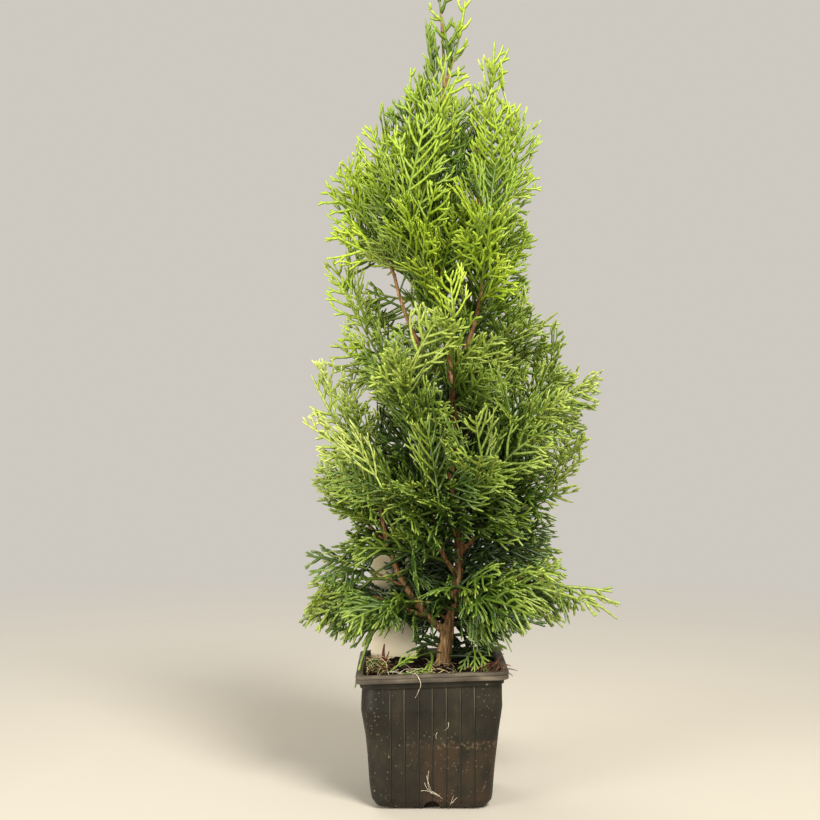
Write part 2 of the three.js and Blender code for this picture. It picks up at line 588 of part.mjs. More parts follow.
// A spray as a flat toothed blade round its middle rib. A rib station has a point above, one below and
// one on either side, and each tooth stands between two stations.
function makeSpray({ curve, reach, normal, index }, mass) {
  const pairs = THREE.MathUtils.clamp(Math.round(reach / TOOTH.every), 1, TOOTH.most);
  const stations = evenShares(pairs + 1, TOOTH.first, TOOTH.last).map((share) => {
    const middle = curve.getPoint(share);
    const tangent = curve.getTangent(share);
    const left = normal.clone().cross(tangent).normalize();
    const thin = 1 - RIB.taper * share;
    const at = (direction, by) => middle.clone().addScaledVector(direction, by * thin);
    return {
      share,
      middle,
      tangent,
      left,
      faces: [at(normal, RIB.halfThick), at(normal, -RIB.halfThick)],
      edges: [at(left, RIB.halfWidth), at(left, -RIB.halfWidth)],
    };
  });
  const position = [];
  const add = (flip, ...corners) => {
    if (flip) corners.reverse();
    corners.forEach((corner) => position.push(corner.x, corner.y, corner.z));
  };
  const root = curve.getPoint(0);
  const end = curve.getPoint(1);
  const lean = radians(TOOTH.lean);
  for (const side of [0, 1]) {
    const turn = side ? -1 : 1;
    const tips = stations.slice(0, -1).map(({ share, middle, tangent, left }, k) => {
      const heading = tangent.clone().multiplyScalar(Math.cos(lean));
      heading.addScaledVector(left, turn * Math.sin(lean));
      const varied = 1 + TOOTH.spread * (chance(mass.index, index, 10 + k, side) - 0.5);
      const wave = Math.sin(Math.PI * (TOOTH.waveFrom + TOOTH.waveSpan * share));
      const length = reach * TOOTH.share * wave * varied;
      return toothTip(middle, heading, length, mass);
    });
    for (const face of [0, 1]) {
      const flip = side !== face;
      const first = stations[0];
      const last = stations[stations.length - 1];
      add(flip, root, first.faces[face], first.edges[side]);
      tips.forEach((tip, k) => {
        const low = stations[k];
        const high = stations[k + 1];
        add(flip, low.faces[face], high.faces[face], high.edges[side]);
        add(flip, low.faces[face], high.edges[side], tip);
        add(flip, low.faces[face], tip, low.edges[side]);
      });
      add(flip, last.faces[face], end, last.edges[side]);
    }
  }
  return solidOf(
    new THREE.BufferGeometry().setAttribute("position", new THREE.Float32BufferAttribute(position, 3)),
  );
}

// A three-sided twig that ends in a point.
function makeTwig(curve, thick, thin, rings, normal) {
  const radiusAt = (share) => thick + (thin - thick) * share;
  const sides = ringsAlong(curve, evenShares(rings).slice(0, -1), 3, radiusAt, normal);
  return solidOf(loft([...sides, [curve.getPoint(1)]]));
}

function makeMass(mass) {
  const stem = partOf(mass.curve, 0, GROWTH.endFrom + TWIG.past);
  const parts = [makeTwig(stem, TWIG.stemThick, TWIG.stemThin, TWIG.rings, mass.normal)];
  for (const spray of spraysOf(mass)) {
    const share = shareWithRoom(spray.curve, mass);
    if (share < GROWTH.shortest) continue;
    const curve = share < 1 ? partOf(spray.curve, 0, share) : spray.curve;
    parts.push(makeSpray({ ...spray, curve, reach: spray.reach * share }, mass));
  }
  return mainBody(wasm.Manifold.union(parts).subtract(limbs.get(mass.from).grown));
}

// ---------------------------------------------------------------- assembly

const COLOURS = {
  pot: { color: 0x2b2723, roughness: 0.55, metalness: 0 },
  soil: { color: 0x2a1c13, roughness: 1, metalness: 0 },
  label: { color: 0xd9cbb0, roughness: 0.6, metalness: 0 },
  bark: { color: 0x8a5f3f, roughness: 0.9, metalness: 0 },
  shade: { color: 0x3f6b1e, roughness: 0.6, metalness: 0 }, // the low, shaded foliage
  fresh: { color: 0x6f9c28, roughness: 0.6, metalness: 0 }, // the sunlit foliage
};

const plant = new THREE.Group();

function addNode(name, solid, finish, group = plant) {
  const mesh = new THREE.Mesh(geometryOf(solid), new THREE.MeshStandardMaterial(COLOURS[finish]));
  mesh.name = name;
  group.add(mesh);
}

// Each limb keeps its solid, the line its middle follows, and a grown copy that cuts what meets it.
const limbs = new Map();

function addLimb(name, branch, make) {
  limbs.set(name, {
    line: evenShares(33).map((share) => branch.curve.getPoint(share)),
    radiusAt: branch.radiusAt,
    grown: make(CLEARANCE),
  });
  return make(0);
}

const wood = new THREE.Group();
addNode("trunk", addLimb("trunk", branches.get("trunk"), makeTrunk), "bark", wood);
for (const row of LIMBS) {
  const curve = branchCurve(row);
  const branch = { curve, radiusAt: (share) => row.thick + (row.thin - row.thick) * share };
  branches.set(row.name, branch);
  const solid = addLimb(row.name, branch, (grow) => makeLimb(branch, grow));
  addNode(row.name, mainBody(solid.subtract(limbs.get(row.from).grown)), "bark", wood);
}

const masses = MASSES.map((row, index) => {
  const curve = branchCurve(row);
  const along = curve.getPoint(1).sub(curve.getPoint(0)).normalize();
  const normal = along.clone().cross(UP).normalize().applyAxisAngle(along, radians(row.roll));
  return { ...row, index, curve, normal, line: evenShares(13).map((share) => curve.getPoint(share)) };
});

const foliage = new THREE.Group();
for (const mass of masses) {
  const finish = mass.height < 200 ? "shade" : "fresh";
  addNode(mass.name, makeMass(mass), finish, foliage);
}

addNode("pot", makePot(), "pot");
addNode("plant_label", makeLabel(), "label");
addNode("soil", makeSoil(makeLabel(CLEARANCE)), "soil");
plant.add(wood, foliage);

export default plant;
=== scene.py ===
"""The looks of a young potted thuja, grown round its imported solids.

Blender works in metres, +Z up, with the front of the plant towards -Y. The growth rule and the sizes
below are in millimetres, as the solids' own source has them, and points become metres in a mesh.
"""

import math
from itertools import combinations

import bpy
import numpy as np
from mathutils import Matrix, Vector, noise


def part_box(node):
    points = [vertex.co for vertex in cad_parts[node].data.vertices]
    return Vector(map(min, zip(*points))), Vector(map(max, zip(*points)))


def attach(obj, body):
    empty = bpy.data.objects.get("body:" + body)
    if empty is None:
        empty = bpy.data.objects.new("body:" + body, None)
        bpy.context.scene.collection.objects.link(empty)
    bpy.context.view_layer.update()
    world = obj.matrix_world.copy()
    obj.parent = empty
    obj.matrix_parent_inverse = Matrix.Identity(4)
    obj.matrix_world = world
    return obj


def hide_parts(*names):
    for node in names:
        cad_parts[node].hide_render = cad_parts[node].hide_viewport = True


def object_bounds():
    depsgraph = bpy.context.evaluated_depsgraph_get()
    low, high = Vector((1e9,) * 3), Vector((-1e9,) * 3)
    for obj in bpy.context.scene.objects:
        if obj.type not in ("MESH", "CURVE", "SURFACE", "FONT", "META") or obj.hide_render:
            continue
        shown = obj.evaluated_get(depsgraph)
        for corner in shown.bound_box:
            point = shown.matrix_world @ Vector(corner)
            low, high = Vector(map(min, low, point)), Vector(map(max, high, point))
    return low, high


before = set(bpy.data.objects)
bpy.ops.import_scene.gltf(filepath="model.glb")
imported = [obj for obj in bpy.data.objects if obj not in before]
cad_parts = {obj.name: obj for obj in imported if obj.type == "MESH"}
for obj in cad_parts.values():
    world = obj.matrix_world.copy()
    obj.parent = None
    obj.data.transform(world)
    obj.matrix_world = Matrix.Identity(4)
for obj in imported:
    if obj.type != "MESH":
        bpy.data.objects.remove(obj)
cad_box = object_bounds()

MM = 0.001
UP = np.array((0.0, 0.0, 1.0))


def box_mm(node):
    """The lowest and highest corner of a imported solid, in millimetres."""
    return [np.array(corner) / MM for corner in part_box(node)]


# ---------------------------------------------------------------- pot, soil and label sizes

RIM_HALF = box_mm("pot")[1][0]
LABEL_LOW, LABEL_HIGH = box_mm("plant_label")
POT_TOP = 82.0
RIM_RISE = 3.0  # the sprung rim's right side stands this much higher than its left
# The outer wall from the underside up, the bead over it, and the rim out, over and in: height, half width.
WALL_LINE = np.array(
    [(0, 30), (1.6, 33.4), (5, 35.6), (14, 36.6), (30, 37.9), (45, 39.5), (60, 41.7), (73.4, 41.4),
     (73.8, 42.6), (76.6, 42.6)]
)
BEAD_LINE = [(73.4, 41.4), (73.8, 42.5), (74.2, 42.6), (76.4, 42.6), (76.9, 42.2)]
RIM_LINE = [(77, 43.6), (77.1, 44.7), (77.5, 45), (78.9, 45), (79.3, 44.6), (79.8, 44.6), (80.2, 45),
            (81.4, 45), (81.85, 44.75), (82, 44.3), (82, 41.4), (81.7, 41.0), (81, 40.9)]
POT_CORNER, RIM_CORNER = 9.0, 6.0
WALL, POT_FLOOR = 1.3, 1.8
INSIDE_HEIGHTS = (77, 74, 60, 30, 5, POT_FLOOR)
NECK = 70.0  # above this height the pot's inside goes straight up
NOTCH_HALF, NOTCH_HEIGHT, NOTCH_DEPTH = 5.0, 5.5, 9.0
DRAIN_RADIUS, DRAIN_FROM = 3.5, 19.0
SOIL_TOP, SOIL_EDGE = 77.0, 75.4

# ---------------------------------------------------------------- the plant's own table

CROWN_X = 8.0  # the upright line that azimuth and reach are measured from
TRUNK_FOOT = SOIL_TOP + 0.3
TRUNK_LINE = np.array(
    [(7.3, 0, TRUNK_FOOT), (9.2, 0, 96), (15.5, 0, 126), (17.3, 1, 150), (12.5, 2, 190), (13.8, 1, 238),
     (8.5, 0, 285), (1.8, -1, 335), (1.8, 0, 384), (7.6, 0, 430), (7.0, 0, 468)]
)
BOLE, STEM, TRUNK_TIP, TRUNK_TAPER = 4.7, 3.1, 0.7, 0.8
FLARE, FLARE_HEIGHT = 1.5, 3.0
FORK_FROM, FORK_TO = 18.0, 32.0  # heights above the soil between which the bole thins into the stem

# Azimuth 0 is the plant's right, 90 its back, 180 its left and 270 its front. The foot is a height on
# the trunk, or a share of the parent limb's length. Rise is the angle above level at which it sets out.
# name, parent, foot, azimuth, reach, height, rise, radius at the foot, radius at the tip
LIMBS = [
    ("left_limb", "trunk", 99, 183, 41, 188, 36, 2.5, 1.4),
    ("right_limb", "trunk", 149, 356, 30, 216, 34, 1.8, 1.1),
    ("inner_limb", "trunk", 134, 240, 20, 208, 38, 1.6, 1.1),
    ("upper_left_limb", "trunk", 250, 191, 31, 318, 42, 1.6, 1.0),
    ("upper_right_limb", "trunk", 258, 340, 18, 384, 52, 1.5, 0.9),
    ("low_left_bough", "left_limb", 0.16, 188, 40, 121, 20, 1.3, 0.9),
    ("low_right_bough", "trunk", 117, 356, 36, 131, 36, 1.4, 0.9),
    ("low_back_bough", "trunk", 113, 78, 30, 130, 40, 1.4, 0.9),
    ("mid_left_bough", "trunk", 198, 176, 28, 246, 48, 1.3, 0.9),
    ("mid_right_bough", "trunk", 208, 8, 28, 256, 48, 1.3, 0.9),
    ("mid_back_bough", "trunk", 176, 96, 28, 208, 48, 1.4, 0.9),
    ("upper_back_bough", "trunk", 262, 92, 22, 306, 52, 1.2, 0.8),
]

# Width is half the span of the fan, and roll turns the fan's plane: at 0 it stands upright through its
# stem, and at 90 it lies flat. Droop lowers a spray's tip by that share of its length.
# name, parent, foot, azimuth, reach, height, rise, width, roll, droop
MASSES = [
    ("low_left", "low_left_bough", 1, 185, 87, 104, 12, 36, 22, 0.22),
    ("low_left_high", "left_limb", 0.4, 177, 86, 146, 32, 34, 28, 0.16),
    ("low_hanging", "low_left_bough", 0.5, 206, 60, 70, 6, 17, 30, 0.2),
    ("low_front_left", "trunk", 112, 219, 76, 112, 30, 33, 48, 0.22),
    ("low_front_right", "trunk", 121, 300, 74, 98, 34, 36, 52, 0.28),
    ("low_right", "low_right_bough", 1, 356, 106, 108, 14, 26, 26, 0.2),
    ("low_right_high", "trunk", 139, 10, 74, 146, 34, 34, 34, 0.16),
    ("low_back_right", "low_back_bough", 0.5, 45, 82, 106, 24, 36, 46, 0.25),
    ("low_back", "low_back_bough", 1, 93, 82, 112, 20, 38, 60, 0.25),
    ("low_back_left", "trunk", 106, 150, 84, 116, 34, 32, 36, 0.18),
    ("midlow_left", "left_limb", 0.7, 186, 78, 204, 42, 38, 26, 0.06),
    ("midlow_front_left", "inner_limb", 0.42, 234, 67, 192, 42, 38, 58, 0.08),
    ("midlow_front", "trunk", 150, 264, 62, 184, 44, 28, 72, 0.08),
    ("midlow_front_right", "trunk", 162, 297, 71, 198, 44, 40, 58, 0.08),
    ("midlow_right", "right_limb", 0.35, 3, 84, 186, 34, 38, 30, 0.08),
    ("midlow_back_right", "mid_back_bough", 0.4, 50, 78, 202, 40, 41, 44, 0.08),
    ("midlow_back_left", "trunk", 170, 130, 78, 200, 44, 41, 42, 0.08),
    ("mid_left", "left_limb", 1, 180, 82, 258, 54, 44, 12, 0),
    ("mid_left_high", "mid_left_bough", 1, 178, 67, 318, 62, 38, 16, 0),
    ("mid_front_left", "inner_limb", 1, 240, 63, 276, 52, 40, 60, 0),
    ("mid_front", "trunk", 230, 274, 60, 300, 50, 41, 76, 0),
    ("mid_front_right", "right_limb", 0.8, 318, 80, 240, 44, 42, 44, 0.02),
    ("mid_right", "right_limb", 1, 2, 96, 250, 46, 47, 12, 0.02),
    ("mid_right_high", "mid_right_bough", 1, 354, 70, 296, 52, 38, 28, 0),
    ("mid_back_right", "trunk", 224, 55, 74, 276, 50, 44, 40, 0),
    ("mid_back_left", "mid_back_bough", 1, 110, 76, 262, 48, 44, 48, 0),
    ("upper_left", "upper_left_limb", 1, 185, 67, 382, 64, 41, 8, 0),
    ("upper_left_top", "trunk", 316, 178, 46, 412, 60, 34, 18, 0),
    ("upper_front_left", "trunk", 288, 238, 50, 368, 56, 38, 56, 0),
    ("upper_front_right", "upper_right_limb", 0.34, 300, 54, 354, 54, 38, 54, 0),
    ("upper_right_low", "trunk", 276, 6, 56, 344, 54, 40, 20, 0),
    ("upper_right", "upper_right_limb", 0.6, 350, 48, 408, 66, 24, 16, 0),
    ("upper_back_left", "trunk", 282, 138, 58, 354, 54, 41, 38, 0),
    ("upper_back", "upper_back_bough", 1, 80, 56, 380, 60, 41, 48, 0),
    ("top_front", "trunk", 344, 262, 27, 424, 58, 21, 68, 0),
    ("top_left", "trunk", 360, 194, 21, 446, 62, 24, 20, 0),
    ("top_back", "trunk", 368, 82, 24, 440, 60, 25, 50, 0),
    ("top_right", "upper_right_limb", 1, 352, 31, 462, 70, 16, 14, 0),
    ("tip_left", "trunk", 424, 196, 12, 476, 68, 13, 20, 0),
    ("tip_right", "trunk", 434, 356, 13, 488, 68, 12, 20, 0),
    ("leader", "trunk", 467.9, 160, 5, 501, 86, 14, 10, 0),
]
# Each leaf piece, and how many masses it stands for, in the table's order.
REGIONS = [
    ("leaves_low_front", 5), ("leaves_low_back", 5), ("leaves_midlow_front", 4), ("leaves_midlow_back", 3),
    ("leaves_mid_front", 4), ("leaves_mid_right", 5), ("leaves_upper_front", 4), ("leaves_upper_back", 4),
    ("leaves_top", 7),
]

# ---------------------------------------------------------------- the growth rule's numbers

SEED = 4
STEM_BOW = 0.45  # how far along its span a stem keeps the angle at which it set out
SPRAY_STEP = 8.5  # length of stem for each spray
SPRAY_FIRST, SPRAY_LAST = 0.1, 0.66  # shares of the stem between which sprays leave it
SPRAY_LEAN, SPRAY_LEAN_SPREAD = 40.0, 14.0  # degrees away from the stem
SPRAY_TILT, SPRAY_TURN = 0.9, 70.0  # how far sprays stray out of the fan's plane, and turn in degrees
SPRAY_SPREAD, SPRAY_CURL, SPRAY_JITTER = 0.24, 0.16, 0.6
END_FROM = 0.6  # beyond this share of it, a stem is a spray itself
SHORTEST, LEAST_REACH = 0.35, 9.0  # a spray cut to less than this share, or this length, isn't grown
ROOM_LIMB, ROOM_LABEL, ROOM_SOIL, ROOM_POT = 0.6, 1.6, 4.0, 3.0  # how far leaves keep from each
RIB_HALF = 0.9
BOX_SPARE = 1.0  # and from the faces of the solids' box
ROOM_STEP = 0.1  # sprays are cut back by this share of their length at a time

# Sprays that rise off the stems, the limbs and the trunk, and fill the crown between the fans, and short
# ones that fill its low heart. Out and along weigh the ways outwards and along the wood.
RISER = dict(step=5.1, reach=34.0, spread=32.0, longer=14.0, out=0.55, along=0.4, nod=0.18)
FILLER = dict(step=1.9, reach=18.0, spread=22.0, longer=0.0, out=0.9, along=0.4, nod=0.12)
FILLED = (100.0, 186.0)  # between these heights
FILLER_KEY = 5000
TRUNK_RISERS, RISER_CROWDING = 78, 1.3  # how many there are on the trunk, and how much closer low down
RISER_RANGE = (0.06, 0.94)
GOLDEN_ANGLE, RISER_JITTER = 2.4, 1.2  # radians: the first spreads them evenly all round the wood
RISER_SPIN = 130.0  # degrees by which their flat sides face away from the outside, at most half each way
RISE_SPREAD, RISE_LEAST = 1.1, 0.1  # how steeply they rise, at random from just below level
HANG, LIFT, STEEPER = 0.25, 0.45, 0.4  # they hang low down, lift above that, and are steeper near the top
ALONG_UP = 0.4  # the share of the wood's own rise that they keep
CUT = 0.4  # and of their reach that they lose at the top
OUT_AT = 20  # their outside is taken this far along them
STRAIGHT, NOD_OUT, NOD_LESS, TIP_HANG = 0.95, 1.3, 1.1, 0.2  # their tips nod outwards and down
MIDDLE = 0.6  # the share of a shoot at which its place is taken
# Heights over which each of these sets in, and over which side shoots grow sparse.
DROOPING, LIFTED, UPRIGHT, LONGER, SHORTER = (170, 100), (150, 210), (240, 420), (200, 160), (390, 470)
SPARSE_TOP, SPARSE_LOW = (390, 450), (132, 100)
MISSING_TOP, MISSING_LOW = 0.4, 0.18  # the shares of side shoots left out there
# Branchlets on a spray, and fingers on a branchlet, both by turns left and right. Their tips nod.
BRANCHLET = dict(step=4.3, first=0.1, last=0.95, lean=46.0, curl=0.34, nod=0.16, share=0.64, least=4.0,
                 most=32.0, swell=(0.28, 0.55), seed=21)
FINGER = dict(step=6.4, first=0.38, last=0.92, lean=38.0, curl=0.38, nod=0.06, share=0.36, least=2.8,
              most=9.0, swell=(0.3, 0.45), seed=31)
SHOOT_JITTER, SHOOT_SPREAD, SHOOT_TILT = 0.8, 0.3, 0.34  # how much their places, lengths and tilts vary
LEAN_LEAST, LEAN_SPREAD = 0.8, 0.4  # their lean, as shares of the rule's
# Changes with height: by how much, and the heights over which each sets in.
NOD_CHANGES = [(0.6, 160, 125), (-0.4, 150, 210), (-0.6, 330, 400)]
STOUT_CHANGES = [(0.18, 370, 450), (0.14, 170, 130)]
TIP_TAPER, TIP_LEAST = 0.9, 3.0  # a side shoot is no longer than this share of what is left, and a bit
FINGERED = 9.0  # a branchlet shorter than this carries no fingers
AXIS_HALF, BRANCHLET_HALF, FINGER_HALF = 1.06, 1.02, 0.92  # half widths of the flattened shoots
FLATNESS = 0.58
SHOOT_TAPER = 0.42  # how much narrower a shoot is near its tip
SCALE_PITCH, MOST_PAIRS = 4.8, 24  # length of one pair of scale leaves, and how many a shoot has at most
SCALE_FOOT, SCALE_SHOULDER = 0.08, 0.76  # where a pair is narrowest and widest, as shares of its length
SCALE_NECK, LAST_SCALE = 0.86, 0.74  # the narrow place's width, and the last pair's, as shares

# Height, and the share of sprays left out there: the young top stands open.
THIN_LINE = np.array([(180, 0.0), (260, 0.2), (330, 0.2), (370, 0.35), (410, 0.5), (445, 0.8), (500, 0.9)])
# The crown's outline: height, and how far foliage reaches to the left and to the right of CROWN_X.
CROWN_LINE = np.array(
    [(68, 62, 34), (87, 60, 44), (97, 72, 42), (104, 86, 64), (110, 88, 86), (118, 90, 117), (125, 91, 108),
     (131, 91, 80), (142, 90, 76), (153, 86, 77), (163, 72, 72), (171, 64, 74), (180, 84, 80),
     (207, 84, 88), (234, 86, 102), (256, 80, 102), (277, 76, 88), (288, 75, 78), (297, 70, 57),
     (345, 74, 57), (375, 76, 58), (386, 70, 55), (393, 58, 56), (403, 53, 62), (416, 47, 59),
     (430, 33, 50), (447, 17, 40), (466, 14, 37), (484, 11, 25), (503, 8, 22)]
)
EDGE_LEAST, EDGE_MOST = 0.82, 1.04  # where sprays end, as shares of the outline
FRINGE = 1.06  # and how far their side shoots reach
CROWN_DEPTH = 0.46  # how far it reaches to the front and the back, as a share of its width
HOLLOW = 0.18  # how deep the hollows between its clumps are, as a share of its reach, in front and behind
CLUMP_RISE, CLUMP_FALL = 15, 24  # millimetres of height for a radian of the clumps' two waves
LINE_PIECES = 32  # straight pieces along the trunk and along each limb
# Wood that shows in front: its name, the heights between which it does, how far foliage keeps to each side,
# and the share of shoots that stray across it.
BARE_WOOD = [
    ("trunk", 77, 106, 4.2, 0.15), ("trunk", 106, 150, 3.6, 0.55), ("trunk", 158, 202, 2.4, 0.6),
    ("trunk", 230, 262, 2.2, 0.6), ("trunk", 378, 420, 1.6, 0.65), ("left_limb", 77, 140, 3.8, 0.35),
    ("left_limb", 160, 188, 2.6, 0.65), ("upper_left_limb", 280, 320, 3.6, 0.3),
    ("upper_right_limb", 276, 310, 2.2, 0.55),
]
# The thin place where the upper left limb shows against the sky: its middle, half its width and height,
# how far it leans for each millimetre of height, and the share of shoots left in it.
WINDOW_X, WINDOW_Z = -20.0, 307.0
WINDOW_HALF, WINDOW_RISE, WINDOW_LEAN, WINDOW_STRAY = 12.0, 17.0, 0.35, 0.6
# Where the label shows: from left to right, from low to high, and the share of shoots that stray across.
LABEL_VIEWS = [(-38, -13, 76, 103, 0.05), (-37, -26, 126, 148, 0.5)]
# Shoots stray across by patches of these sizes.
WOOD_PATCH, LABEL_PATCH, WINDOW_PATCH = 3, 4, 5

# ---------------------------------------------------------------- curves and chances


def chance(*keys):
    """A number from 0 to 1 that depends only on its keys, so that the same plant grows every time.

    Most calls end with a number of their own, which keeps their draws apart.
    """
    total = SEED * 53.3
    for key, weight in zip(keys, (127.1, 311.7, 74.7, 19.19)):
        total = total + np.asarray(key, float) * weight
    wave = np.sin(total) * 43758.5453
    return wave - np.floor(wave)


def unit(vectors):
    return vectors / np.linalg.norm(vectors, axis=-1, keepdims=True)


def column(values):
    return np.asarray(values, float)[..., None]


def smooth(low, high, value):
    """0 at low, 1 at high, and an even S between them."""
    t = np.clip((np.asarray(value, float) - low) / (high - low), 0, 1)
    return t * t * (3 - 2 * t)


def changed(value, changes, height):
    for amount, low, high in changes:
        value = value + amount * smooth(low, high, height)
    return value


def square_to(vectors, axes):
    """Unit vectors square to unit axes, each in the plane of its vector and its axis."""
    return unit(vectors - axes * np.sum(vectors * axes, axis=1, keepdims=True))


def turned(vectors, axes, angles):
    """Vectors turned about unit axes."""
    cos, sin = column(np.cos(angles)), column(np.sin(angles))
    along = np.sum(vectors * axes, axis=-1, keepdims=True)
    return vectors * cos + np.cross(axes, vectors) * sin + axes * along * (1 - cos)


def curve_at(ends, share):
    """Points of quadratic curves. ends is (..., 3, 3): each curve's start, bend and tip."""
    s = column(share)
    return (1 - s) ** 2 * ends[..., 0, :] + 2 * s * (1 - s) * ends[..., 1, :] + s**2 * ends[..., 2, :]


def heading_at(ends, share):
    s = column(share)
    return unit((1 - s) * (ends[..., 1, :] - ends[..., 0, :]) + s * (ends[..., 2, :] - ends[..., 1, :]))


def part_of(ends, low, high):
    """The parts of quadratic curves between two shares of them."""
    start, tip = curve_at(ends, low), curve_at(ends, high)
    bend = 2 * curve_at(ends, (np.asarray(low) + np.asarray(high)) / 2) - (start + tip) / 2
    return np.stack((start, bend, tip), axis=-2)


def length_of(ends):
    points = np.stack([curve_at(ends, share) for share in np.linspace(0, 1, 24)])
    return np.linalg.norm(np.diff(points, axis=0), axis=-1).sum(axis=0)


# ---------------------------------------------------------------- trunk, limbs and stems


def trunk_at(share):
    """Points of the trunk's middle line, a Catmull-Rom curve through its points."""
    share = np.asarray(share, float)
    line = np.vstack((2 * TRUNK_LINE[0] - TRUNK_LINE[1], TRUNK_LINE, 2 * TRUNK_LINE[-1] - TRUNK_LINE[-2]))
    place = share * (len(TRUNK_LINE) - 1)
    k = np.clip(np.floor(place).astype(int), 0, len(TRUNK_LINE) - 2)
    t = column(place - k)
    before, low, high, after = (line[k + i] for i in range(4))
    low_slope, high_slope = (high - before) / 2, (after - low) / 2
    cubic = 2 * low - 2 * high + low_slope + high_slope
    square = 3 * high - 3 * low - 2 * low_slope - high_slope
    return low + low_slope * t + square * t**2 + cubic * t**3


def trunk_share(height):
    shares = np.linspace(0, 1, 4001)
    return float(np.interp(height, trunk_at(shares)[:, 2], shares))


def trunk_radius(share):
    above = trunk_at(share)[..., 2] - TRUNK_FOOT
    length = TRUNK_LINE[-1][2] - TRUNK_FOOT
    stem = TRUNK_TIP + (STEM - TRUNK_TIP) * np.clip(1 - above / length, 0, 1) ** TRUNK_TAPER
    bole = (BOLE - stem) * (1 - smooth(FORK_FROM, FORK_TO, above))
    return stem + bole + FLARE * np.exp(-above / FLARE_HEIGHT)


def branch_curve(parent, foot, azimuth, reach, height, rise):
    """A limb or stem sets out from its parent's middle line at its own rise, and bends to its tip."""
    start = curve_at(LIMB_CURVES[parent][0], foot) if parent in LIMB_CURVES else trunk_at(trunk_share(foot))
    angle = math.radians(azimuth)
    tip = np.array((CROWN_X + reach * math.cos(angle), reach * math.sin(angle), height))
    span = tip - start
    far = np.linalg.norm(span) * STEM_BOW
    level = unit(span * (1, 1, 0))
    bend = start + level * math.cos(math.radians(rise)) * far + UP * math.sin(math.radians(rise)) * far
    return np.stack((start, bend, tip))


LIMB_CURVES = {}  # each limb's curve and its radius at the foot and at the tip, by name
for limb, *way, thick, thin in LIMBS:
    LIMB_CURVES[limb] = (branch_curve(*way), thick, thin)

STEMS = np.array([branch_curve(*row[1:7]) for row in MASSES])
STEM_LENGTHS = length_of(STEMS)
STEM_WAYS = unit(STEMS[:, 2] - STEMS[:, 0])
FAN_WIDTHS, FAN_ROLLS, DROOPS = (np.array([row[k] for row in MASSES], float) for k in (7, 8, 9))
FAN_NORMALS = turned(unit(np.cross(STEM_WAYS, UP)), STEM_WAYS, np.radians(FAN_ROLLS))


def distances(points, low, high):
    """The distance from each point to each straight piece of a line."""
    span = high - low
    share = np.clip(((points[:, None] - low) * span).sum(-1) / (span**2).sum(-1), 0, 1)
    return np.linalg.norm(points[:, None] - low - span * share[..., None], axis=-1)


def nearest_stem(points):
    """The number of the mass whose stem is nearest to each point."""
    line = np.stack([curve_at(STEMS, share) for share in np.linspace(0, 1, 13)], axis=1)
    low, high = line[:, :-1].reshape(-1, 3), line[:, 1:].reshape(-1, 3)
    return distances(points, low, high).reshape(len(points), len(STEMS), -1).min(axis=2).argmin(axis=1)


def wood_line():
    """Straight pieces along the trunk and the limbs, with the wood's radius at each."""
    shares = np.linspace(0, 1, LINE_PIECES + 1)
    lines = [(trunk_at(shares), trunk_radius(shares))]
    for ends, thick, thin in LIMB_CURVES.values():
        lines.append((curve_at(ends, shares), thick + (thin - thick) * shares))
    pieces = [(line[:-1], line[1:], (radius[:-1] + radius[1:]) / 2) for line, radius in lines]
    return [np.concatenate(kind) for kind in zip(*pieces)]


WOOD_LOW, WOOD_HIGH, WOOD_RADIUS = wood_line()
WOOD_NAMES = np.repeat(["trunk", *LIMB_CURVES], LINE_PIECES)

# ---------------------------------------------------------------- where leaves may be


def clear_of_wood(points, radius):
    """True where a point with that much leaf round it misses wood, label, soil and pot."""
    clear = np.ones(len(points), bool)
    block = 4000
    for i in range(0, len(points), block):
        space = distances(points[i : i + block], WOOD_LOW, WOOD_HIGH) - WOOD_RADIUS
        clear[i : i + block] = space.min(axis=1) > radius + ROOM_LIMB
    over_pot = np.abs(points[:, :2]).max(axis=1) < RIM_HALF + ROOM_POT
    clear &= ~(over_pot & (points[:, 2] < SOIL_TOP + ROOM_SOIL + radius))
    past_label = np.abs(points - (LABEL_LOW + LABEL_HIGH) / 2) - (LABEL_HIGH - LABEL_LOW) / 2
    return clear & ~(past_label < ROOM_LABEL + radius).all(axis=1)


def inside_box(points):
    """True where a point lies in the solids' own box."""
    low, high = (np.array(corner) / MM for corner in cad_box)
    return ((points > low + BOX_SPARE) & (points < high - BOX_SPARE)).all(axis=1)


def crown_reach(height):
    """How far the crown's outline reaches to the left and to the right at a height."""
    heights, lefts, rights = CROWN_LINE.T
    return np.interp(height, heights, lefts), np.interp(height, heights, rights)


def inside_crown(points, spare):
    """True where a point lies within that share of the crown's outline."""
    x, y, z = (points - (CROWN_X, 0, 0)).T
    left, right = crown_reach(z)
    out = np.hypot(x / np.where(x < 0, left, right), y / ((left + right) * CROWN_DEPTH))
    azimuth = np.arctan2(y, x)
    clump = 0.5 + 0.5 * np.sin(3 * azimuth + z / CLUMP_RISE) * np.cos(2 * azimuth - z / CLUMP_FALL)
    return out < spare * (1 - HOLLOW * clump * abs(np.sin(azimuth)))


def straying(points, patch, key, share):
    """True for that share of the points, by patches of that size as seen from the front."""
    x, _, z = points.T
    return chance(np.round(x / patch), np.round(z / patch), key) < share


def before_label(points):
    """True in front of the label's foot and of its top corner, where the foliage lets it show."""
    hidden = np.zeros(len(points), bool)
    x, y, z = points.T
    for left, right, low, high, stray in LABEL_VIEWS:
        inside = (x > left) & (x < right) & (z > low) & (z < high) & (y < LABEL_LOW[1])
        hidden |= inside & ~straying(points, LABEL_PATCH, 61, stray)
    return hidden


